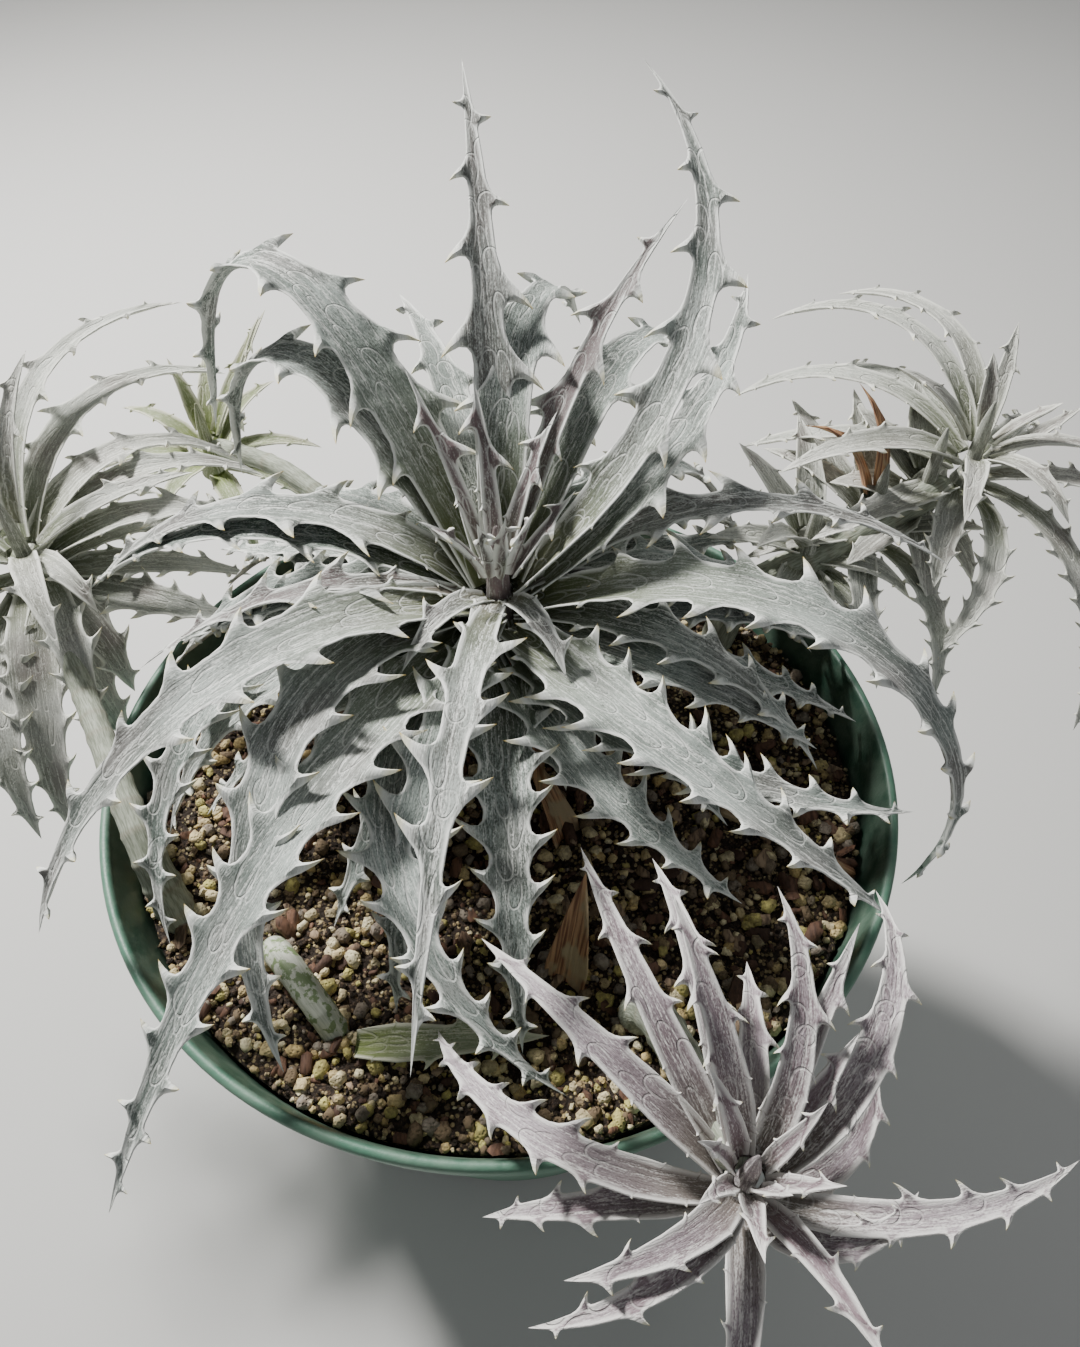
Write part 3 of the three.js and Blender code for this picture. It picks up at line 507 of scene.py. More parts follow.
# ---------------------------------------------------------------- main rosette
# The mother plant: a short stem with a dense whorl of tapering, channelled leaves. Each margin is
# a thin horny edge drawn out into flat hooked claws, and the whole leaf is coated with silvery
# scurf in fine rows. Young leaves had pressed on each other in the bud, which left raised lines.
HEART = (0.000, 0.028, 0.250)
MAIN_LEAVES = [
    # heading, slope at the base, slope at the tip, length mm, width mm, turn, bend, blush, scurf
    (91, 60, 22, 161, 12, 8, 1, 0.5, 0.6),
    (4, 50, 22, 188, 13, 126, 1, 0.3, 0.7),
    (64, 56, 30, 125, 9, -22, 1, 0.9, 0.4),
    (124, 44, -80, 224, 20, 37, 3, 0.1, 0.7),
    (124, 58, 35, 68, 5, 0, 1, 1.0, 0.2),
    (158, 38, -52, 152, 15, 30, 1, 0.3, 0.7),
    (188, 34, -34, 112, 7, 16, 1, 0.8, 0.5),
    (206, 34, -66, 188, 20, 20, 1, 0.3, 0.8),
    (206, 26, -62, 178, 19, 92, 1, 0.3, 0.8),
    (235, 18, -48, 204, 19, 10, 1, 0.2, 0.8),
    (264, 42, -42, 161, 10, 0, 1, 0.4, 0.7),
    (294, 8, -75, 60, 15, 0, 1, 0.1, 0.5),
    (272, 8, -54, 134, 18, 4, 1, 0.1, 0.6),
    (300, 21, -42, 154, 20, 42, 1, 0.2, 0.9),
    (352, 29, -106, 236, 18, -42, 1.4, 0.2, 0.8),
    (20, 20, -58, 122, 15, -14, 1, 0.1, 0.8),
    (30, 30, -30, 154, 12, -50, 1, 0.5, 0.6),
    (18, 35, -40, 48, 5, -40, 1, 0.7, 0.4),
    (332, 14, -40, 108, 17, 16, 1, 0.1, 0.8),
    (294, 10, -22, 148, 16, 80, 1, 0.1, 0.8),
    (282, 8, -40, 120, 16, 62, 1, 0.1, 0.8),
    (224, 8, -38, 172, 14, 118, 1, 0.1, 0.8),
    (254, 24, -84, 144, 14, 2, 1, 0.1, 0.7),
    (194, 18, -70, 142, 15, 26, 1, 0.2, 0.7),
    (130, 42, -84, 186, 20, 26, 2, 0.2, 0.6),
    (164, 8, -38, 174, 14, 130, 1, 0.1, 0.7),
    (88, 62, -60, 152, 16, -24, 1.6, 0.1, 0.6),
    (56, 54, -62, 158, 20, 4, 1.3, 0.1, 0.6),
    (16, 36, 12, 140, 16, 66, 1, 0.2, 0.7),
    (104, 50, -10, 118, 16, 10, 1, 0.2, 0.7),
    (72, 42, -80, 150, 16, -32, 1.4, 0.1, 0.7),
    (48, 34, -80, 138, 15, -20, 1.2, 0.1, 0.7),
    (112, 30, -70, 138, 16, 6, 1, 0.1, 0.7),
    (132, 20, -60, 138, 16, 10, 1, 0.1, 0.7),
    (150, 18, -60, 130, 15, 10, 1, 0.1, 0.7),
    (170, 22, -60, 125, 14, 12, 1, 0.1, 0.7),
    (86, 26, -65, 130, 16, 6, 1, 0.1, 0.7),
    (62, 22, -60, 130, 16, -6, 1, 0.1, 0.7),
    (40, 20, -60, 135, 15, -8, 1, 0.1, 0.7),
    (14, 16, -60, 125, 15, -10, 1, 0.1, 0.7),
    (346, 22, -60, 120, 14, -16, 1, 0.2, 0.7),
    (316, 4, -50, 96, 14, 14, 1, 0.1, 0.6),
    (244, 6, -60, 110, 14, -10, 1, 0.1, 0.6),
    (212, 6, -60, 120, 14, -20, 1, 0.1, 0.6),
    (168, 34, -50, 154, 14, 8, 1, 0.0, 0.4),
    (178, 20, -60, 128, 14, -6, 1, 0.1, 0.6),
    (190, 6, -50, 118, 15, 0, 1, 0.1, 0.6),
    (8, 6, -40, 124, 15, 0, 1, 0.1, 0.6),
    (350, 2, -40, 126, 15, 10, 1, 0.1, 0.6),
    (36, 8, -50, 104, 15, -10, 1, 0.1, 0.6),
    (76, 10, -50, 116, 16, 0, 1, 0.1, 0.6),
    (104, 8, -50, 120, 16, 0, 1, 0.1, 0.6),
    (172, 6, -30, 112, 15, 8, 1, 0.1, 0.6),
    (156, 8, -30, 116, 15, -6, 1, 0.1, 0.6),
    (140, 6, -34, 112, 15, 0, 1, 0.1, 0.6),
    (34, 6, -30, 116, 15, -6, 1, 0.1, 0.6),
    (56, 6, -30, 112, 15, 0, 1, 0.1, 0.6),
    (14, 2, -30, 112, 15, 0, 1, 0.1, 0.6),
    (258, 46, -50, 44, 10, 6, 1, 0.6, 0.6),
    (304, 46, -46, 42, 9, -10, 1, 0.6, 0.6),
    (226, 46, -50, 44, 9, 10, 1, 0.6, 0.6),
    (98, 68, 40, 58, 6, 6, 1, 1.0, 0.3),
    (60, 70, 34, 50, 6, -6, 1, 1.0, 0.3),
    (20, 60, 30, 34, 5, 20, 1, 1.0, 0.3),
    (200, 70, 40, 36, 6, 10, 1, 1.0, 0.3),
    (284, 82, 60, 32, 5, 0, 1, 1.0, 0.3),
    (330, 80, 60, 30, 5, 10, 1, 1.0, 0.3),
    (240, 82, 64, 28, 5, 10, 1, 1.0, 0.3),
]
OLD_LEAVES_FROM = 27

CHANNEL_DEPTH = 0.13
BASE_FOLD = 0.16
LEAF_THICKNESS = 0.1
THINNEST_BLADE = 0.0011
MARGIN_WIDTH = 0.00035
MARGIN_THICKNESS = 0.0006
TAPER_POWER = 1.7
NARROW_BASE = 0.62
FULL_WIDTH_FROM = 0.22
THIN_BELOW_WIDTH = 0.003
FOLD_LENGTH = 0.3
SWAY = 0.10
RIPPLE = 0.02
TOOTH_LIFT = 0.2
TOOTH_SIZES = (0.78, 1.12)
TEETH_GROW_OVER = 0.018
SMALLEST_TOOTH = 0.12
CLAW_LEAN = 0.55
CLAW_LEAN_SPREAD = 0.35
CLAW_STOUTNESS = 5.0
CLAWS_TURN_AT = 0.74
CLAW_ROOM = (0.42, 0.52)
CLAW_OUTLINE = np.array([
    # where it stands on the blade's edge, where its outline lies, and how high: in tooth heights,
    # from the end of the foot nearest the leaf's base, over the point, to the other end
    (-0.80, -0.80, 0.0), (-0.56, -0.48, 0.05), (-0.38, -0.28, 0.19), (-0.22, -0.17, 0.44),
    (-0.10, -0.11, 0.73), (0.00, 0.00, 1.00), (0.12, 0.15, 0.83), (0.28, 0.28, 0.55),
    (0.52, 0.47, 0.28), (0.85, 0.80, 0.10), (1.30, 1.30, 0.0)])
SEAT_RADIUS = 0.003
SEAT_SPREAD = 0.004
SEAT_DROP = 0.024
STEEPEST_RISE = 75
BLADE_COLUMNS = np.array([-1, -0.9, -0.6, -0.25, 0.25, 0.6, 0.9, 1])
TOOTH_COLUMNS = np.array([0.36, 0.7])
STEEP_LEAVES_SPREAD = 1.1
UNARMED_LENGTH = 0.010
STEEP_UNARMED_LENGTH = 0.034


def bent(u, bend):
    """How far the slope has turned at the fraction u: u^bend over u^bend plus bend times
    (1 - u)^bend. It is even for a bend of 1, and a sharp knee past the middle for a bend of 3."""
    return u ** bend / (u ** bend + bend * (1 - u) ** bend)


def centre_line(seat, heading, rise, droop, length, turn, bend):
    """The leaf's centre line as a function of the fraction u of its length: short steps added up,
    whose slope turns from rise to droop while the heading swings evenly by turn."""
    steps = np.linspace(0, 1, 241)
    middle = (steps[1:] + steps[:-1]) / 2
    slope = np.radians(rise + (droop - rise) * bent(middle, bend))
    way = np.radians(heading + turn * middle)
    step = np.stack([np.cos(slope) * np.cos(way), np.cos(slope) * np.sin(way), np.sin(slope)], axis=-1)
    path = np.vstack([(0, 0, 0), np.cumsum(step, axis=0) * length / 240]) + seat

    def at(u):
        place = np.stack([np.interp(u, steps, path[:, k]) for k in range(3)], axis=-1)
        s, h = np.radians(rise + (droop - rise) * bent(u, bend)), np.radians(heading + turn * u)
        along = np.stack([np.cos(s) * np.cos(h), np.cos(s) * np.sin(h), np.sin(s)], axis=-1)
        across = np.stack([-np.sin(h), np.cos(h), np.zeros_like(h)], axis=-1)
        return place, along, across, np.cross(along, across)

    return at


def margin_stations(length, teeth, tooth, unarmed, side, rng):
    """Where one margin is sampled, in rows of (run along the blade's edge, straight slide of the
    outline, height of the tooth, lean of the tooth, share of the tooth's height). Each tooth has
    the rows of CLAW_OUTLINE, drawn in where the next tooth is near, and a row half way to the next.
    Teeth are small on the unarmed base and towards the tip, where they also turn forward."""
    number = np.arange(teeth) + 0.55 + 0.22 * side + rng.uniform(-0.1, 0.1, teeth)
    centre = length * number / (teeth + 0.35)
    grown = np.clip((centre - unarmed) / TEETH_GROW_OVER, SMALLEST_TOOTH, 1)
    grown = grown * np.minimum(1, 0.3 + 1.35 * (1 - centre / length))
    high = tooth * rng.uniform(*TOOTH_SIZES, teeth) * grown
    lean = 1 + rng.uniform(-CLAW_LEAN_SPREAD, CLAW_LEAN_SPREAD, teeth)
    lean = lean * (1 - 1.5 * np.clip((centre / length - CLAWS_TURN_AT) / 0.16, 0, 1))
    gap = np.diff(np.concatenate([[0], centre, [length]]))
    stand, outline, climb = CLAW_OUTLINE.T
    room = np.where(stand < 0, (CLAW_ROOM[0] * gap[:-1] / (-stand[0] * high))[:, None],
                    (CLAW_ROOM[1] * gap[1:] / (stand[-1] * high))[:, None])
    unit = high[:, None] * np.minimum(1, room)
    place = centre[:, None] + unit * stand
    between = (place[:, -1:] + np.append(place[1:, 0], length)[:, None]) / 2
    rows = np.stack([np.hstack([place, between]), np.hstack([unit * (outline - stand), 0 * between]),
                     np.hstack([high[:, None] * climb, 0 * between]),
                     np.hstack([(high * lean)[:, None] + 0 * place, 0 * between]),
                     np.hstack([climb + 0 * place, 0 * between])]).reshape(5, -1)
    plain = np.zeros((5, 3))
    plain[0] = 0, place[0, 0] / 2, length
    return np.hstack([plain[:, :2], rows, plain[:, 2:]])


def leaf_surface(seat, leaf, pitch, tooth, rng, taper=TAPER_POWER, fold=BASE_FOLD, roll=0, claws=True):
    """One leaf as a closed skin of rings. A ring runs over the top from the right margin's edge to
    the left one's and back below. Across the blade the top is a channel, depth times 1 - v^2, and
    the underside lies a thickness lower. Outside the blade the margin goes out by its width plus
    the tooth's height, and leans back along the leaf by the square of the way up the tooth."""
    heading, rise, droop, length, width, turn, bend, blush, scurf = leaf
    length, width = length / 1000, width / 1000
    at = centre_line(seat, heading, rise, droop, length, turn, bend)
    steep = np.clip((rise - 12) / 40, 0, 1)
    teeth = max(2, int(round(length / (pitch * (1 + STEEP_LEAVES_SPREAD * steep)))))
    unarmed = UNARMED_LENGTH + (STEEP_UNARMED_LENGTH - UNARMED_LENGTH) * steep
    unarmed = min(unarmed, 0.3 * length)
    sides = {side: margin_stations(length, teeth, tooth * claws + 1e-5, unarmed, side, rng)
             for side in (-1, 1)}

    def width_at(u):
        opened = NARROW_BASE + (1 - NARROW_BASE) * np.minimum(1, u / FULL_WIDTH_FROM)
        return width * opened * (1 - u ** taper)

    phase = rng.uniform(0, 6, 3)
    v = BLADE_COLUMNS[None, :]
    u = (sides[-1][0][:, None] * (1 - v) / 2 + sides[1][0][:, None] * (1 + v) / 2) / length
    place, along, across, up = at(u)
    full = width_at(u)
    tilt = np.radians(roll) * u + SWAY * np.sin(5 * u + phase[0]) * u
    across, up = (across * np.cos(tilt)[..., None] + up * np.sin(tilt)[..., None],
                  up * np.cos(tilt)[..., None] - across * np.sin(tilt)[..., None])
    depth = CHANNEL_DEPTH + fold * np.clip(1 - u / FOLD_LENGTH, 0, 1) ** 2
    ripple = RIPPLE * np.sin(60 * u * length / 0.1 + phase[1] + 2 * v) * v ** 2
    y = v * full / 2
    z = (ripple - depth * (1 - v ** 2)) * full
    thick = np.maximum(THINNEST_BLADE, LEAF_THICKNESS * full) * (1 - v ** 2)
    thick = (thick + MARGIN_THICKNESS) * np.clip(full / THIN_BELOW_WIDTH, 0.25, 1)
    top = place + y[..., None] * across + z[..., None] * up
    under = top - thick[..., None] * up
    nearest = np.where(v < 0, sides[-1][2][:, None], sides[1][2][:, None])
    edge = nearest + MARGIN_WIDTH + (1 - np.abs(v)) * full / 2

    margins = {}
    for side, column in ((-1, 0), (1, -1)):
        run, slide, high, lean, climb = sides[side][:, :, None]
        small = np.clip(full[:, column] / THIN_BELOW_WIDTH, 0.25, 1)[:, None]
        base = top[:, column] - 0.5 * (MARGIN_THICKNESS * up[:, column])
        g = np.append(TOOTH_COLUMNS, 1)[None, :]
        tall, way_up = high * g, climb * g
        reach = MARGIN_WIDTH * g * small + tall
        moved = slide * g - CLAW_LEAN * lean * way_up ** 2
        middle = (base[:, None] + side * reach[..., None] * across[:, column][:, None]
                  + moved[..., None] * along[:, column][:, None]
                  + (TOOTH_LIFT * tall)[..., None] * up[:, column][:, None])
        stout = 1 + CLAW_STOUTNESS * climb * np.clip(high / 0.004, 0.2, 1)
        half = 0.5 * MARGIN_THICKNESS * stout * (1 - g ** 2.4) * small
        rise_by = half[..., None] * up[:, column][:, None]
        out = side * (full[:, column] / 2)[:, None] + side * reach
        margins[side] = (middle + rise_by, middle - rise_by, run + moved, out, way_up,
                         (high + MARGIN_WIDTH) * (1 - g), run / length + 0 * g)

    def ring(right, blade, left, right_under, blade_under, left_under):
        return np.concatenate([right[:, ::-1], blade, left, left_under[:, -2::-1],
                               blade_under[:, ::-1], right_under[:, :-1]], axis=1)[:-1]

    right, left = margins[-1], margins[1]
    points = ring(right[0], top, left[0], right[1], under, left[1])
    run, out, mask, off_edge, share = [
        ring(r, b, l, r, b, l) for r, b, l in zip(right[2:], (u * length, y, 0 * u, edge, u), left[2:])]
    rows, columns = points.shape[:2]
    tip_point = at(np.array([1.0]))[0]
    base_point = points[0].mean(axis=0, keepdims=True)
    count = rows * columns
    points = np.vstack([points.reshape(-1, 3), base_point, tip_point])
    blade = np.column_stack([np.append(run.ravel(), (0, length)), np.append(out.ravel(), (0, 0)),
                             np.full(count + 2, rng.uniform())])
    tone = np.column_stack([np.append(mask.ravel(), (0.0, 0.6)), np.append(share.ravel(), (0.0, 1.0)),
                            np.full(count + 2, blush), np.full(count + 2, scurf)])
    return points, *ring_skin(rows, columns), {
        "blade": blade, "tone": tone, "edge": np.append(off_edge.ravel(), (0.01, 0.0))[:, None]}


def joined(name, surfaces, sharp=None):
    """Several surfaces as one object: their points in a row, and their faces renumbered to match."""
    starts = np.cumsum([0] + [len(s[0]) for s in surfaces])
    values = {key: np.vstack([s[3][key] for s in surfaces]) for key in surfaces[0][3]}
    return mesh_object(name, np.vstack([s[0] for s in surfaces]),
                       np.vstack([s[1] + k for s, k in zip(surfaces, starts)]),
                       np.vstack([s[2] + k for s, k in zip(surfaces, starts)]), values, sharp)


def seat_of(heart, heading, rise):
    """Where a leaf leaves the heart: the flatter it lies, the lower and further out it is seated."""
    tier = np.clip((STEEPEST_RISE - rise) / STEEPEST_RISE, 0, 1)
    out, way = SEAT_RADIUS + SEAT_SPREAD * tier, np.radians(heading)
    return np.array(heart) + (out * np.cos(way), out * np.sin(way), -SEAT_DROP * tier)


def heart_bulb(heart, radius, tall, blush, cover):
    """The short thick heart that the leaves sit in, drawn up into the furled bud at the rosette's
    middle, as a turned profile with the leaves' own attributes."""
    x, y, z = heart
    low = z - SEAT_DROP - 0.003
    points, quads, ends = turned([
        (0, low), (0.6 * radius, low), (0.95 * radius, low + 0.003), (radius, z - 0.023),
        (0.62 * radius, z - 0.018), (0.5 * radius, z - 0.012), (0.38 * radius, z + 0.004 * tall),
        (0.24 * radius, z + 0.010 * tall), (0.1 * radius, z + 0.016 * tall),
        (0, z + 0.017 * tall)], 24)
    count = len(points)
    round_it = 0.6 * radius * np.arctan2(points[:, 1], points[:, 0])
    blade = np.column_stack([points[:, 2], round_it, np.full(count, 0.5)])
    tone = np.tile((0.0, 0.3, blush, cover), (count, 1))
    return points + (x, y, 0), quads, ends, {
        "blade": blade, "tone": tone, "edge": np.full((count, 1), 0.01)}


def rosette_leaves(name, heart, leaves, pitch, tooth, seed, taper=TAPER_POWER, bud=None, sharp=42):
    """All the leaves of a rosette as one object, each with its own draw of teeth. A larger taper
    keeps the blades full for longer. bud is the heart's radius, height, blush and scurf."""
    rng = np.random.default_rng(seed)
    surfaces = [leaf_surface(seat_of(heart, leaf[0], leaf[1]), leaf, pitch, tooth, rng, taper)
                for leaf in leaves]
    return joined(name, surfaces + ([heart_bulb(heart, *bud)] if bud else []), sharp)


# Scurf rows: fine dark dashes along the blade between rows of silvery scales, where the scales
# are thin. The Along and Across inputs are metres on the leaf.
scurf, scurf_in, scurf_out = node_group(
    "scurf_rows",
    [("Along", "Float", 0.0), ("Across", "Float", 0.0), ("Leaf", "Float", 0.0),
     ("Cover", "Float", 0.7)],
    [("Cover", "Float"), ("Height", "Float")])
scurf_leaf = calc(scurf, "MULTIPLY", scurf_in["Leaf"], 37.0)


def streaks(tree, along, across, leaf, length, width, detail=2.0, roughness=0.6):
    """Noise drawn out along the leaf: one cell is length by width, in metres."""
    at = shader_node(tree, "CombineXYZ", X=calc(tree, "DIVIDE", along, length),
                     Y=calc(tree, "DIVIDE", across, width), Z=leaf)
    return shader_node(tree, "TexNoise", Vector=at.outputs[0], Scale=1.0, Detail=detail,
                       Roughness=roughness).outputs["Fac"]


dashes = streaks(scurf, scurf_in["Along"], scurf_in["Across"], scurf_leaf, 0.0026, 0.00036)
specks = streaks(scurf, scurf_in["Along"], scurf_in["Across"], scurf_leaf, 0.0007, 0.0003)
veins = streaks(scurf, scurf_in["Along"], scurf_in["Across"], scurf_leaf, 0.05, 0.0008, 1.0)
patches = streaks(scurf, scurf_in["Along"], scurf_in["Across"], scurf_leaf, 0.022, 0.007, 3.0)
mixed = calc(scurf, "MULTIPLY_ADD", dashes, 1.5, calc(scurf, "MULTIPLY", specks, 1.5))
mixed = calc(scurf, "MULTIPLY_ADD", patches, 0.9, mixed)
mixed = calc(scurf, "ADD", mixed, calc(scurf, "SUBTRACT", scurf_in["Cover"], 2.35))
scurf.links.new(ramp_between(scurf, mixed, -0.4, 0.65), scurf_out["Cover"])
scurf_height = calc(scurf, "MULTIPLY_ADD", dashes, 0.5, calc(scurf, "MULTIPLY", specks, 0.4))
scurf.links.new(calc(scurf, "MULTIPLY_ADD", veins, 0.7, scurf_height), scurf_out["Height"])

# Bud lines: the print of the neighbour's toothed edge, pressed into each leaf in the bud. Each of
# its claws left a slim arch, rounded towards the leaf's tip and fading towards its base. An arch is
# the outline of an ellipse in a cell of the leaf's length. Pitch is the cells' spacing, Reach the
# arches' width and Side where they stand across the blade, in metres.
bud, bud_in, bud_out = node_group(
    "bud_lines",
    [("Along", "Float", 0.0), ("Across", "Float", 0.0), ("Leaf", "Float", 0.0),
     ("Pitch", "Float", 0.019), ("Reach", "Float", 0.006), ("Side", "Float", 0.0),
     ("Missing", "Float", 0.15)],
    [("Line", "Float")])
bud_seed = calc(bud, "ADD", calc(bud, "MULTIPLY", bud_in["Leaf"], 57.0),
                calc(bud, "MULTIPLY", bud_in["Side"], 3000.0))
wander = streaks(bud, bud_in["Along"], bud_in["Across"], bud_seed, 0.006, 0.006, 1.0, 0.4)
cell_at = calc(bud, "ADD", calc(bud, "DIVIDE", bud_in["Along"], bud_in["Pitch"]),
               calc(bud, "ADD", bud_seed, calc(bud, "MULTIPLY", wander, 0.12)))
cell_part = calc(bud, "FRACT", cell_at)
cell_draw = shader_node(bud, "TexWhiteNoise", {"noise_dimensions": "1D"},
                        W=calc(bud, "FLOOR", cell_at)).outputs["Color"]
cell_draws = shader_node(bud, "SeparateColor", i0=cell_draw).outputs
half_long = calc(bud, "MULTIPLY", bud_in["Pitch"], calc(bud, "MULTIPLY_ADD", cell_draws[1], 0.34, 0.2))
half_wide = calc(bud, "MULTIPLY", bud_in["Reach"], calc(bud, "MULTIPLY_ADD", cell_draws[0], 0.3, 0.32))
off_along = calc(bud, "MULTIPLY", calc(bud, "SUBTRACT", cell_part, 0.42), bud_in["Pitch"])
middle_at = calc(bud, "ADD", bud_in["Side"], calc(bud, "MULTIPLY_ADD", cell_draws[1], 0.0036, -0.0018))
middle_at = calc(bud, "ADD", middle_at, calc(bud, "MULTIPLY", off_along, -0.14))
off_across = calc(bud, "SUBTRACT", bud_in["Across"], middle_at)
far_along = calc(bud, "DIVIDE", off_along, half_long)
far_across = calc(bud, "DIVIDE", off_across, half_wide)
far = hypotenuse(bud, far_along, far_across)
steep = hypotenuse(bud, calc(bud, "DIVIDE", far_along, half_long),
                   calc(bud, "DIVIDE", far_across, half_wide))
off_arch = calc(bud, "MULTIPLY", calc(bud, "ABSOLUTE", calc(bud, "SUBTRACT", far, 1.0)), far)
off_arch = calc(bud, "DIVIDE", off_arch, calc(bud, "MAXIMUM", steep, 1.0))
thin_line = ramp_between(bud, off_arch, 0.00012, 0.00045, 1.0, 0.0)
fading = ramp_between(bud, cell_part, 0.05, 0.5)
where_shown = calc(bud, "GREATER_THAN", cell_draws[2], bud_in["Missing"])
bud.links.new(calc(bud, "MULTIPLY", calc(bud, "MULTIPLY", thin_line, fading), where_shown), bud_out["Line"])

CLAW_CREAM = (0.78, 0.77, 0.60, 1)


def leaf_material(name, skin, scales, pale_scales, blush_colour, green, horn, point, pitch, reach,
                  missing=0.25, strength=0.42, base_cover=0.25):
    """The finish of a rosette's leaves: the skin's colour under the scales, the scales in two
    shades, the blush of young leaves, green where the base was covered, and horny teeth. pitch
    and reach are the bud lines' lobes, missing the part of them that left no print. base_cover
    is the share of the scales that a leaf keeps at its foot."""
    tree, shader, made = new_material(name, 0.66, Sheen_Weight=0.08, Sheen_Roughness=0.5,
                                      Specular_IOR_Level=0.28)
    blade = stored_parts(tree, "blade")
    mask, share, blush = stored_parts(tree, "tone", "Color")
    cover = shader_node(tree, "Attribute", {"attribute_name": "tone"}).outputs["Alpha"]
    rows = place_group(tree, scurf, Along=blade["X"], Across=blade["Y"], Leaf=blade["Z"], Cover=cover)
    other_way = calc(tree, "MULTIPLY", blade["Y"], -1.0)
    left_line, right_line, small_line = [
        place_group(tree, bud, Along=blade["X"], Across=across, Leaf=blade["Z"], Pitch=spacing,
                    Reach=wide, Side=side, Missing=missing)["Line"]
        for across, side, spacing, wide in (
            (blade["Y"], 0.45 * reach, pitch, reach), (other_way, 0.5 * reach, 0.87 * pitch, reach),
            (other_way, -0.1 * reach, 0.61 * pitch, 0.6 * reach))]
    line = calc(tree, "MAXIMUM", calc(tree, "MAXIMUM", left_line, right_line),
                calc(tree, "MULTIPLY", small_line, 0.6))
    off_edge = shader_node(tree, "Attribute", {"attribute_name": "edge"}).outputs["Fac"]
    cloud = streaks(tree, blade["X"], blade["Y"], blade["Z"], 0.03, 0.02, 2.0)
    haze = streaks(tree, blade["X"], blade["Y"], calc(tree, "ADD", blade["Z"], 7.0), 0.045, 0.03, 2.0)
    under = blend_colour(tree, calc(tree, "MULTIPLY", ramp_between(tree, share, 0.36, 0.0), 0.9),
                         skin, green)
    under = blend_colour(tree, calc(tree, "MULTIPLY", blush, ramp_between(tree, cloud, 0.3, 0.55)),
                         under, blush_colour)
    coat = blend_colour(tree, ramp_between(tree, cloud, 0.35, 0.65), scales, pale_scales)
    coat = blend_colour(tree, calc(tree, "MULTIPLY", ramp_between(tree, haze, 0.46, 0.66), 0.5), coat,
                        blush_colour)
    coat = blend_colour(tree, calc(tree, "MULTIPLY", blush, 0.6), coat, blush_colour)
    green_part = calc(tree, "MULTIPLY", ramp_between(tree, share, 0.5, 0.03),
                      ramp_between(tree, haze, 0.6, 0.4, 0.3, 0.62))
    coat = blend_colour(tree, green_part, coat, green)
    thin_base = ramp_between(tree, share, 0.0, 0.3, base_cover, 1.0)
    # The crests of the scurf relief are turned towards horn colour: a painted highlight on the scales.
    coat = blend_colour(tree, ramp_between(tree, rows["Height"], 0.78, 1.0, 0.0, 0.75), coat, horn)
    colour = blend_colour(tree, calc(tree, "MULTIPLY", rows["Cover"], thin_base), under, coat)
    colour = blend_colour(tree, calc(tree, "MULTIPLY", line, strength), colour, horn)
    colour = blend_colour(tree, ramp_between(tree, off_edge, 0.0004, 0.0018, 0.9, 0.0), colour, horn)
    colour = blend_colour(tree, ramp_between(tree, mask, 0.15, 0.6, 0.0, 0.85), colour, horn)
    colour = blend_colour(tree, ramp_between(tree, mask, 0.55, 0.8), colour, CLAW_CREAM)
    colour = blend_colour(tree, ramp_between(tree, mask, 0.86, 0.98), colour, point)
    relief = calc(tree, "MULTIPLY_ADD", rows["Height"], 0.6, calc(tree, "MULTIPLY", line, 0.5))
    lay_on(tree, shader, colour, relief, 0.9, 0.0006)
    return made


silver_leaf = leaf_material(
    "silver_leaf", skin=(0.045, 0.064, 0.050, 1), scales=(0.205, 0.255, 0.228, 1),
    pale_scales=(0.450, 0.515, 0.480, 1), blush_colour=(0.175, 0.125, 0.13, 1),
    green=(0.125, 0.15, 0.045, 1), horn=(0.84, 0.86, 0.82, 1), point=(0.62, 0.47, 0.16, 1),
    pitch=0.0195, reach=0.0055)

upper_leaves = rosette_leaves("main_upper_leaves", HEART, MAIN_LEAVES[:OLD_LEAVES_FROM],
                              pitch=0.0138, tooth=0.0095, seed=21, bud=(0.0080, 1, 1.0, 0.35))
lower_leaves = rosette_leaves("main_lower_leaves", HEART, MAIN_LEAVES[OLD_LEAVES_FROM:],
                              pitch=0.0138, tooth=0.0086, seed=22)
upper_leaves.data.materials.append(silver_leaf)
lower_leaves.data.materials.append(silver_leaf)


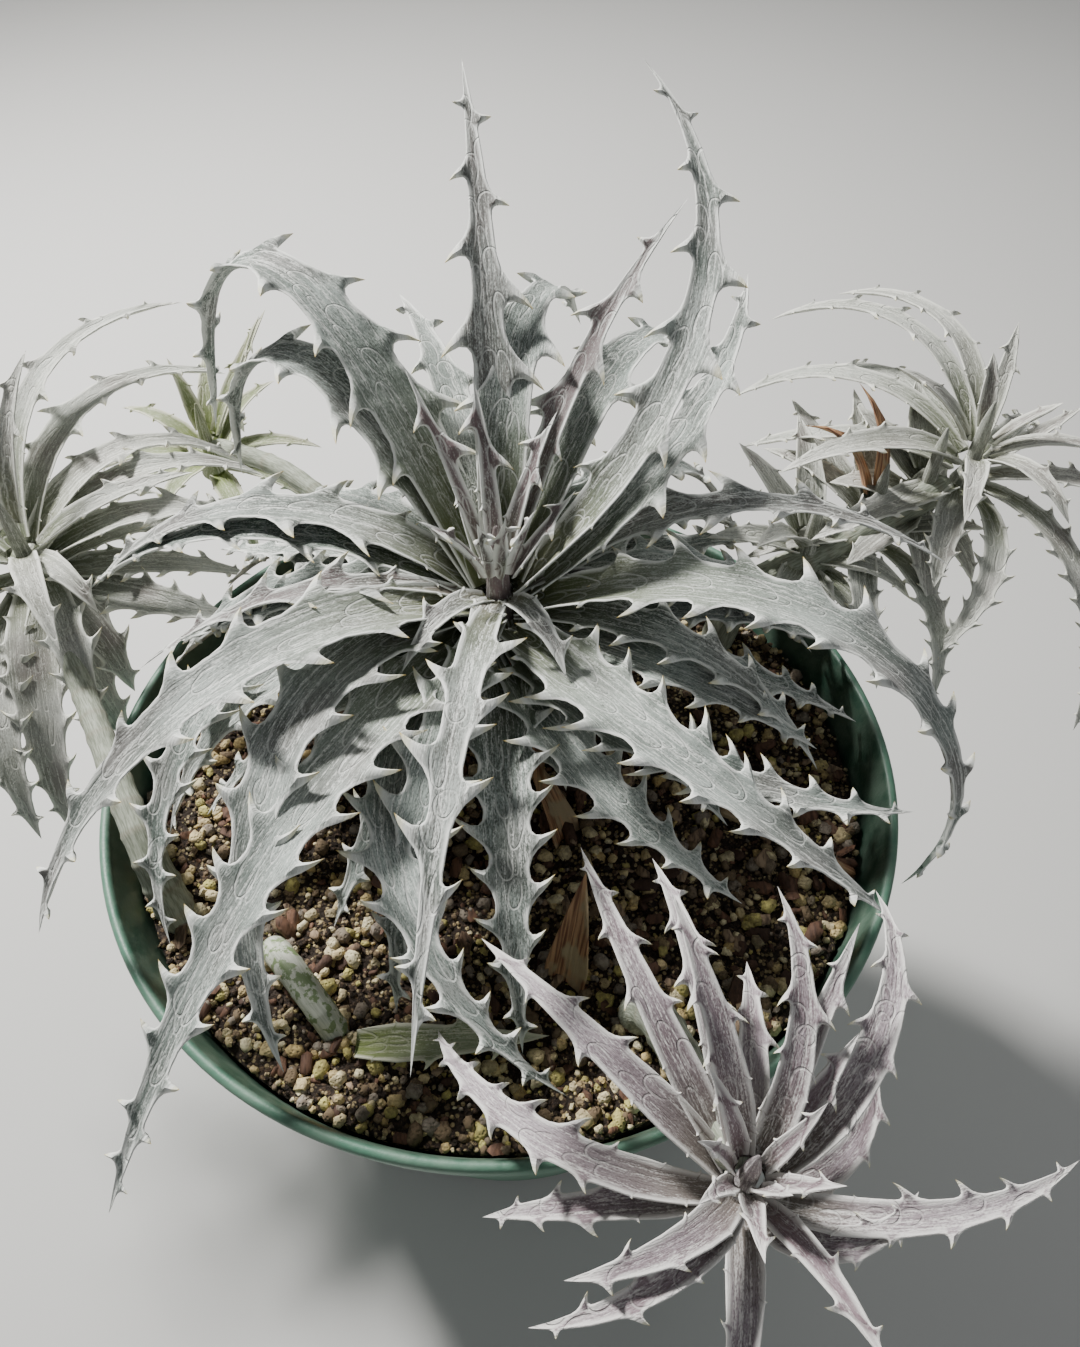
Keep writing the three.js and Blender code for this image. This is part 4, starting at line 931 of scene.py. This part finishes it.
def tube(points, radii, sides=20, steps=60, rings=0.0, pitch=0.009):
    """A round stem: a circle carried along a smooth curve through the points, the cubic that
    passes through each point along the line between its neighbours. The radius runs evenly
    through radii and swells by rings at every pitch of length. Both ends are rounded off."""
    knots = np.asarray(points, dtype=float)
    knots = np.vstack([2 * knots[0] - knots[1], knots, 2 * knots[-1] - knots[-2]])
    t = np.linspace(0, len(points) - 1, steps)
    k = np.minimum(t.astype(int), len(points) - 2)
    f = (t - k)[:, None]
    p0, p1, p2, p3 = knots[k], knots[k + 1], knots[k + 2], knots[k + 3]
    path = 0.5 * (2 * p1 + (p2 - p0) * f + (2 * p0 - 5 * p1 + 4 * p2 - p3) * f ** 2
                  + (3 * p1 - p0 - 3 * p2 + p3) * f ** 3)
    along = np.gradient(path, axis=0)
    along /= np.linalg.norm(along, axis=1, keepdims=True)
    bend = np.cross(along[0], along[-1])
    if np.linalg.norm(bend) < 0.05:
        bend = np.cross(along[0], (0.3, 0.9, 0.2))
    side = bend - (along @ bend)[:, None] * along
    side /= np.linalg.norm(side, axis=1, keepdims=True)
    up = np.cross(along, side)
    length = np.concatenate([[0], np.cumsum(np.linalg.norm(np.diff(path, axis=0), axis=1))])
    radius = np.interp(t, np.linspace(0, t[-1], len(radii)), radii)
    pulse = np.abs(np.cos(np.pi * length / pitch)) ** 12
    radius = radius * (1 + rings * pulse) * np.minimum(1, np.sqrt(0.05 + np.minimum(t, t[-1] - t) * 8))
    angle = np.arange(sides) * 2 * np.pi / sides
    circle = np.cos(angle)[None, :, None] * side[:, None] + np.sin(angle)[None, :, None] * up[:, None]
    skin = path[:, None] + radius[:, None, None] * circle
    count = steps * sides
    surface = np.vstack([skin.reshape(-1, 3), path[0] - along[0] * radii[0] * 0.1,
                         path[-1] + along[-1] * radii[-1] * 0.1])
    run = np.repeat(length, sides)
    round_it = np.tile(angle * np.mean(radii), steps)
    blade = np.stack([np.append(run, (0, length[-1])), np.append(round_it, (0, 0)),
                      np.full(count + 2, 0.37)], axis=-1)
    tone = np.stack([np.append(np.repeat(pulse, sides), (0, 0)), np.full(count + 2, 0.6),
                     np.full(count + 2, 0.2), np.full(count + 2, 0.6)], axis=-1)
    return surface, *ring_skin(steps, sides), {"blade": blade, "tone": tone}


STEM_POINTS = [(0, 0.026, 0.146), (0, 0.027, 0.190), (0, 0.028, 0.226)]
main_stem = joined("main_stem", [tube(STEM_POINTS, (0.0105, 0.0105, 0.010), rings=0.06)])

tree, shader, stem_skin = new_material("stem_skin", 0.7)
blade = stored_parts(tree, "blade")
ringed = stored_parts(tree, "tone", "Color")[0]
stem_streak = streaks(tree, blade["X"], blade["Y"], blade["Z"], 0.004, 0.0006)
stem_colour = blend_colour(tree, ramp_between(tree, stem_streak, 0.35, 0.65), (0.22, 0.245, 0.185, 1),
                           (0.39, 0.42, 0.34, 1))
stem_colour = blend_colour(tree, calc(tree, "MULTIPLY", ramp_between(tree, ringed, 0.2, 1.0), 0.3),
                           stem_colour, (0.22, 0.16, 0.11, 1))
lay_on(tree, shader, stem_colour, stem_streak, 0.6, 0.0005)
main_stem.data.materials.append(stem_skin)

for piece in (upper_leaves, lower_leaves, main_stem):
    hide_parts("main_rosette")
    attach(piece, "root")

# ---------------------------------------------------------------- lower right rosette
# A young offset on a short cane over the front rim: mauve-grey blades, broad for their length,
# with pale bud marks and small close teeth.
PLUM_HEART = (0.062, -0.136, 0.215)
PLUM_LEAVES = [
    (186, 30, -50, 102, 9.5, -80, 1, 0.4, 0.8), (148, 46, -32, 90, 10, -20, 1, 0.4, 0.7),
    (126, 45, -20, 92, 9.5, -22, 1, 0.4, 0.7), (100, 45, -30, 86, 9, 4, 1, 0.4, 0.7),
    (104, 62, 10, 68, 9.5, 8, 1, 0.6, 0.6), (50, 58, 5, 70, 9, 60, 1, 0.6, 0.6),
    (22, 45, -25, 90, 11, 75, 1, 0.4, 0.7), (356, 22, 10, 46, 9, 90, 1, 0.5, 0.7),
    (335, 28, -12, 80, 9, 58, 1, 0.3, 0.8), (306, 24, 10, 44, 10, 110, 1, 0.4, 0.7),
    (304, 45, 0, 46, 7, -10, 1, 0.8, 0.5), (266, 25, -50, 58, 9.5, -14, 1, 0.3, 0.8),
    (240, 45, -35, 64, 8, -62, 1, 0.6, 0.6), (232, 50, -20, 52, 9, -50, 1, 0.5, 0.7),
    (190, 25, -50, 64, 9, -16, 1, 0.4, 0.8), (40, 50, 25, 42, 8, 10, 1, 0.7, 0.5),
    (58, 52, 20, 64, 8, 4, 1, 0.6, 0.6), (78, 30, -30, 56, 10, 8, 1, 0.3, 0.8),
    (260, 66, 20, 26, 6, 10, 1, 0.9, 0.5), (120, 72, 40, 30, 6, 10, 1, 0.9, 0.5),
    (210, 66, 30, 22, 5, 10, 1, 0.9, 0.5), (330, 66, 30, 24, 5, 20, 1, 0.9, 0.5),
    (20, 72, 50, 28, 5, 20, 1, 0.9, 0.5), (170, 74, 50, 26, 5, 20, 1, 0.9, 0.5),
    (290, 74, 60, 20, 5, 20, 1, 0.9, 0.5),
]
plum_leaf = leaf_material(
    "mauve_leaf", skin=(0.100, 0.083, 0.090, 1), scales=(0.290, 0.250, 0.275, 1),
    pale_scales=(0.54, 0.495, 0.525, 1), blush_colour=(0.21, 0.14, 0.16, 1),
    green=(0.12, 0.12, 0.07, 1), horn=(0.80, 0.79, 0.76, 1), point=(0.60, 0.48, 0.24, 1),
    pitch=0.013, reach=0.0055, missing=0.5, strength=0.28, base_cover=0.75)
OFFSET_BUD = (0.0056, 0.7, 0.2, 0.9)
plum_leaves = rosette_leaves("lower_right_leaves", PLUM_HEART, PLUM_LEAVES, pitch=0.0088,
                             tooth=0.0046, seed=31, taper=1.8, bud=OFFSET_BUD)
plum_leaves.data.materials.append(plum_leaf)
plum_cane = joined("lower_right_cane", [
    tube([(0.040, -0.078, 0.150), (0.044, -0.088, 0.190), (0.053, -0.114, 0.205),
          (0.061, -0.133, 0.207)], (0.0058, 0.0050), rings=0.1)])
plum_cane.data.materials.append(stem_skin)
for piece in (plum_leaves, plum_cane):
    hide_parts("lower_right_rosette")
    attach(piece, "root")

# ---------------------------------------------------------------- upper right rosette
# A pale offset at the end of a cane that leans out over the back rim: smooth whitish-green
# leaves with small teeth, and a few short old leaves lower on the same cane.
RIGHT_HEART = (0.170, 0.100, 0.247)
RIGHT_OLD_HEART = (0.136, 0.090, 0.228)
RIGHT_SHEATH_HEART = (0.155, 0.096, 0.239)
RIGHT_LEAVES = [
    (100, 50, -36, 106, 8, 75, 1, 0.1, 0.9), (78, 48, -28, 98, 8, 80, 1, 0.3, 0.9),
    (62, 52, 30, 44, 6, 10, 1, 0.3, 0.7), (132, 38, -40, 96, 9, 50, 1, 0.1, 0.9),
    (165, 25, -30, 80, 9, 10, 1, 0.1, 0.9), (190, 40, -40, 74, 12, -4, 1, 0.3, 0.9),
    (12, 30, 20, 38, 6, 10, 1, 0.5, 0.7), (356, 14, -30, 62, 9, -12, 1, 0.5, 0.8),
    (316, 10, -84, 110, 9, -50, 1, 0.3, 0.9), (296, -5, -70, 74, 8, -110, 1, 0.2, 0.9),
    (112, 34, -44, 82, 8, 40, 1, 0.1, 0.9), (208, 10, -20, 62, 12, -6, 1, 0.4, 0.9),
    (80, 70, 40, 26, 6, 10, 1, 0.7, 0.6), (340, 64, 30, 26, 6, 10, 1, 0.7, 0.6),
    (240, 10, -60, 44, 11, 20, 1, 0.3, 0.9), (40, 24, -50, 56, 9, 20, 1, 0.2, 0.9),
    (250, 46, -50, 40, 8, 0, 1, 0.5, 0.8), (300, 46, -50, 44, 8, 0, 1, 0.5, 0.8),
    (340, 48, -30, 44, 7, 10, 1, 0.5, 0.8), (150, 60, 10, 40, 7, 20, 1, 0.5, 0.8),
]
RIGHT_OLD_LEAVES = [
    (125, 35, 10, 52, 12, -10, 1, 0.3, 0.8), (100, 52, 20, 42, 11, 0, 1, 0.3, 0.8),
    (312, 6, -80, 70, 9, -50, 1, 0.1, 0.9), (250, 10, -70, 52, 11, 50, 1, 0.1, 0.9),
    (170, 24, -20, 50, 12, 0, 1, 0.3, 0.9), (200, 20, -30, 46, 12, -10, 1, 0.4, 0.9),
    (150, 44, -10, 44, 12, 6, 1, 0.4, 0.9), (350, 24, -30, 40, 11, 20, 1, 0.4, 0.9),
    (30, 30, 10, 40, 11, 10, 1, 0.3, 0.8),
]
RIGHT_SHEATHS = [
    (222, 6, -40, 34, 15, -10, 1, 0.5, 0.9), (180, 26, -10, 32, 15, 6, 1, 0.4, 0.9),
    (135, 40, 10, 34, 14, 0, 1, 0.4, 0.9), (268, -6, -60, 34, 15, 10, 1, 0.5, 0.9),
    (312, -8, -70, 30, 14, 0, 1, 0.4, 0.9), (95, 46, 20, 34, 14, 0, 1, 0.3, 0.9),
]
RIGHT_LOW_HEART = (0.112, 0.080, 0.222)
RIGHT_LOW_LEAVES = [
    (308, 14, -84, 56, 12, -14, 1, 0.1, 0.9), (240, 24, -60, 28, 12, 0, 1, 0.2, 0.9),
    (190, 40, -10, 38, 12, 0, 1, 0.2, 0.9), (140, 54, 20, 40, 12, 0, 1, 0.2, 0.9),
    (90, 56, 10, 44, 12, 10, 1, 0.2, 0.9), (275, 16, -70, 32, 13, 6, 1, 0.2, 0.9),
    (340, 26, -60, 40, 12, 0, 1, 0.2, 0.9), (220, 56, 0, 40, 12, 10, 1, 0.2, 0.9),
]
pale_leaf = leaf_material(
    "pale_leaf", skin=(0.11, 0.12, 0.09, 1), scales=(0.31, 0.335, 0.285, 1),
    pale_scales=(0.53, 0.56, 0.51, 1), blush_colour=(0.24, 0.18, 0.19, 1),
    green=(0.12, 0.15, 0.06, 1), horn=(0.76, 0.77, 0.70, 1), point=(0.62, 0.50, 0.24, 1),
    pitch=0.012, reach=0.003, missing=0.4, strength=0.35, base_cover=0.6)
right_leaves = rosette_leaves("upper_right_leaves", RIGHT_HEART, RIGHT_LEAVES, pitch=0.0088,
                              tooth=0.0038, seed=41, taper=3.2, bud=OFFSET_BUD)
right_old, right_sheaths, right_low = [
    rosette_leaves("upper_right_" + name, heart, leaves, 0.0090, tooth, seed, 2.2, OFFSET_BUD)
    for name, heart, leaves, tooth, seed in (
        ("old_leaves", RIGHT_OLD_HEART, RIGHT_OLD_LEAVES, 0.0040, 42),
        ("sheaths", RIGHT_SHEATH_HEART, RIGHT_SHEATHS, 0.0032, 43),
        ("low_leaves", RIGHT_LOW_HEART, RIGHT_LOW_LEAVES, 0.0040, 44))]
for piece in (right_leaves, right_old, right_sheaths, right_low):
    piece.data.materials.append(pale_leaf)
right_cane = joined("upper_right_cane", [
    tube([(0.078, 0.066, 0.150), (0.088, 0.070, 0.192), (0.120, 0.083, 0.204),
          (0.163, 0.098, 0.226)], (0.0062, 0.0064, 0.0070, 0.0060), rings=0.05)])
right_cane.data.materials.append(stem_skin)
for piece in (right_leaves, right_old, right_sheaths, right_low, right_cane):
    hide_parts("upper_right_rosette")
    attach(piece, "root")

# ---------------------------------------------------------------- left rosette
# An offset at the end of a long pale cane with ring scars, which climbs over the left rim. Its
# leaves are narrow and arch up before they droop.
LEFT_HEART = (-0.169, 0.066, 0.232)
LEFT_LEAVES = [
    (110, 45, -14, 128, 10, -84, 1, 0.1, 0.9), (94, 38, -34, 124, 12, -66, 1, 0.1, 0.9),
    (68, 38, -60, 104, 13, -44, 1, 0.3, 0.9), (350, -2, -14, 70, 15, 0, 1, 0.1, 0.9),
    (286, 8, -80, 100, 17, -6, 1, 0.3, 0.9), (262, 4, -60, 96, 14, 40, 1, 0.2, 0.9),
    (322, 8, -80, 56, 14, -10, 1, 0.3, 0.9), (324, 40, -60, 40, 9, -4, 1, 0.3, 0.9),
    (150, 40, -50, 104, 11, 20, 1, 0.1, 0.9), (180, 32, -60, 100, 12, 0, 1, 0.1, 0.9),
    (206, 38, -40, 96, 11, -10, 1, 0.1, 0.9), (230, 15, -80, 95, 11, 0, 1, 0.1, 0.9),
    (92, 70, 30, 60, 8, -30, 1, 0.4, 0.8), (200, 68, 30, 56, 8, 20, 1, 0.4, 0.8),
    (130, 12, -80, 90, 12, 10, 1, 0.1, 0.9), (50, 34, -50, 98, 12, -26, 1, 0.2, 0.9),
    (30, 26, -50, 90, 13, -16, 1, 0.2, 0.9), (300, 46, -50, 56, 10, 0, 1, 0.3, 0.8),
    (14, 44, -20, 64, 10, 20, 1, 0.2, 0.9), (304, -6, -80, 70, 13, 10, 1, 0.3, 0.9),
    (310, 20, -70, 82, 12, -30, 1, 0.1, 0.9), (46, 10, -60, 84, 13, -10, 1, 0.2, 0.9),
    (80, 16, -50, 68, 13, -30, 1, 0.2, 0.9), (12, 6, -42, 72, 14, 10, 1, 0.2, 0.9),
]
left_leaves = rosette_leaves("left_leaves", LEFT_HEART, LEFT_LEAVES, pitch=0.0125, tooth=0.0062,
                             seed=51, taper=2.6, bud=OFFSET_BUD)
left_leaves.data.materials.append(pale_leaf)
left_cane = joined("left_cane", [
    tube([(-0.099, -0.052, 0.150), (-0.103, -0.047, 0.180), (-0.112, -0.032, 0.198),
          (-0.138, 0.014, 0.206), (-0.164, 0.058, 0.210)],
         (0.0058, 0.0058, 0.0048, 0.0038, 0.0038), steps=90, rings=0.1)])
left_cane.data.materials.append(stem_skin)
for piece in (left_leaves, left_cane):
    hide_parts("left_rosette")
    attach(piece, "root")

# ---------------------------------------------------------------- back left rosette
# The youngest offset, a small tight yellow-green rosette behind the long leaves at the back.
BACK_HEART = (-0.128, 0.156, 0.206)
BACK_LEAVES = [
    (40, 60, 48, 54, 8, -6, 1, 0.0, 0.5), (190, 30, -40, 48, 9, 0, 1, 0.0, 0.6),
    (150, 40, -20, 42, 9, 10, 1, 0.0, 0.5), (90, 54, 0, 40, 9, 14, 1, 0.0, 0.4),
    (10, 30, -30, 44, 10, -10, 1, 0.0, 0.6), (220, 26, -40, 46, 10, -10, 1, 0.0, 0.6),
    (250, 30, -40, 41, 10, 0, 1, 0.0, 0.6), (90, 15, -70, 60, 12, 5, 1, 0.0, 0.6),
    (140, 12, -70, 55, 12, 5, 1, 0.0, 0.6), (62, 40, -10, 40, 10, -16, 1, 0.0, 0.5),
    (120, 64, 30, 32, 7, 10, 1, 0.0, 0.4), (340, 20, -60, 48, 10, 6, 1, 0.0, 0.6),
    (60, 50, 36, 58, 8, -10, 1, 0.0, 0.5), (300, 14, -60, 50, 11, 0, 1, 0.0, 0.6),
]
green_leaf = leaf_material(
    "green_leaf", skin=(0.16, 0.19, 0.08, 1), scales=(0.24, 0.285, 0.17, 1),
    pale_scales=(0.41, 0.47, 0.31, 1), blush_colour=(0.26, 0.19, 0.13, 1),
    green=(0.17, 0.22, 0.05, 1), horn=(0.70, 0.70, 0.56, 1), point=(0.58, 0.44, 0.18, 1),
    pitch=0.012, reach=0.003, missing=0.4, strength=0.3)
back_leaves = rosette_leaves("back_left_leaves", BACK_HEART, BACK_LEAVES, pitch=0.0085,
                             tooth=0.0038, seed=61, bud=OFFSET_BUD)
back_leaves.data.materials.append(green_leaf)
back_cane = joined("back_left_cane", [
    tube([(-0.050, 0.092, 0.150), (-0.056, 0.100, 0.190), (-0.086, 0.126, 0.205),
          (-0.126, 0.155, 0.198)], (0.0040, 0.0036), rings=0.12)])
back_cane.data.materials.append(stem_skin)
for piece in (back_leaves, back_cane):
    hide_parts("back_left_rosette")
    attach(piece, "root")

# ---------------------------------------------------------------- withered and shed leaves
# Old leaves die back to curled brown ribbons that stay standing in the mix. One pale leaf has
# been shed whole and lies on the grains near the front.
DRY_LEAVES = {
    "dry_leaf_middle": ((0.024, -0.024, 0.166), (125, 75, 20, 50, 13, 10, 1, 1, 0), 40),
    "dry_leaf_front": ((0.019, -0.076, 0.166), (70, 72, 40, 46, 15, 5, 1, 1, 0), -20),
    "dry_leaf_back": ((0.052, 0.084, 0.166), (150, 80, -40, 46, 12, -60, 1, 1, 0), 30),
}
tree, shader, withered = new_material("withered_leaf", 0.55)
blade = stored_parts(tree, "blade")
ribs = streaks(tree, blade["X"], blade["Y"], blade["Z"], 0.03, 0.0009)
stain = streaks(tree, blade["X"], blade["Y"], blade["Z"], 0.012, 0.006)
brown = blend_colour(tree, ramp_between(tree, ribs, 0.38, 0.62), (0.19, 0.08, 0.04, 1),
                     (0.56, 0.33, 0.18, 1))
brown = blend_colour(tree, ramp_between(tree, stain, 0.5, 0.65), brown, (0.46, 0.36, 0.22, 1))
lay_on(tree, shader, brown, ribs, 0.9, 0.0008)
for number, (name, (seat, leaf, roll)) in enumerate(DRY_LEAVES.items()):
    piece = joined(name + "_blade", [leaf_surface(
        np.array(seat), leaf, 0.009, 0.001, np.random.default_rng(70 + number), fold=0.2,
        roll=roll, claws=False)], 42)
    piece.data.materials.append(withered)
    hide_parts(name)
    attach(piece, "root")

# Dead leaves that still hang on the plants, brown and curled, under the live ones.
MAIN_DEAD_LEAVES = [(46, 18, -40, 100, 18, 0, 1, 1, 0), (268, 8, -88, 46, 9, 20, 1, 1, 0),
                    (292, -4, -80, 60, 10, -20, 1, 1, 0)]
RIGHT_DEAD_LEAVES = [(138, 66, 4, 42, 6, 50, 2, 1, 0), (84, 72, 30, 40, 6, 60, 2, 1, 0)]
for name, heart, leaves, node in (
        ("main_dead_leaves", HEART, MAIN_DEAD_LEAVES, "main_rosette"),
        ("upper_right_dead_leaves", RIGHT_OLD_HEART, RIGHT_DEAD_LEAVES, "upper_right_rosette")):
    piece = joined(name, [leaf_surface(
        seat_of(heart, leaf[0], leaf[1]), leaf, 0.009, 0.001, np.random.default_rng(76), fold=0.2,
        roll=30, claws=False) for leaf in leaves], 42)
    piece.data.materials.append(withered)
    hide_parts(node)
    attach(piece, "root")

fallen = joined("fallen_leaf_blade", [leaf_surface(
    np.array((-0.040, -0.092, 0.177)), (0, 4, -8, 56, 12, 6, 1, 0.0, 0.9), 0.020, 0.006,
    np.random.default_rng(81))], 42)
fallen.data.materials.append(green_leaf)
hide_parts("fallen_leaf")
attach(fallen, "root")

# ---------------------------------------------------------------- dry stalk and runner
# The stalk of an old flower spike lies on the mix, brown and brittle. The runner is a thick pale
# stolon that loops out of the mix and back into it, ringed, and stained green by moss.
stalk = joined("dry_stalk_tube", [tube(
    [(0.074, -0.012, 0.1755), (0.088, -0.021, 0.1765), (0.104, -0.030, 0.175),
     (0.115, -0.036, 0.174)], (0.0022, 0.0021, 0.0019, 0.0017), sides=14, rings=0.15, pitch=0.012)])
stalk.data.materials.append(withered)
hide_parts("dry_stalk")
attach(stalk, "root")

runner = joined("runner_tube", [tube(
    [(-0.069, -0.060, 0.158), (-0.068, -0.063, 0.176), (-0.059, -0.074, 0.183),
     (-0.050, -0.084, 0.178), (-0.044, -0.089, 0.160)], (0.0041, 0.0043, 0.0043, 0.0041),
    sides=24, steps=80, rings=0.05, pitch=0.008)])
tree, shader, runner_skin = new_material("runner_skin", 0.5)
blade = stored_parts(tree, "blade")
runner_streak = streaks(tree, blade["X"], blade["Y"], blade["Z"], 0.006, 0.0007)
runner_colour = blend_colour(tree, ramp_between(tree, runner_streak, 0.35, 0.65),
                             (0.44, 0.47, 0.38, 1), (0.62, 0.64, 0.55, 1))
moss = calc(tree, "MULTIPLY", ramp_between(tree, mottled(tree, 0.0035, 0.09), 0.55, 0.9), 0.8)
runner_colour = blend_colour(tree, moss, runner_colour, (0.12, 0.20, 0.05, 1))
lay_on(tree, shader, runner_colour, runner_streak, 0.5, 0.0004)
runner.data.materials.append(runner_skin)
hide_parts("runner")
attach(runner, "root")

# ---------------------------------------------------------------- size
# The box around all shown pieces, leaving out the backdrop.
low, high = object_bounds()
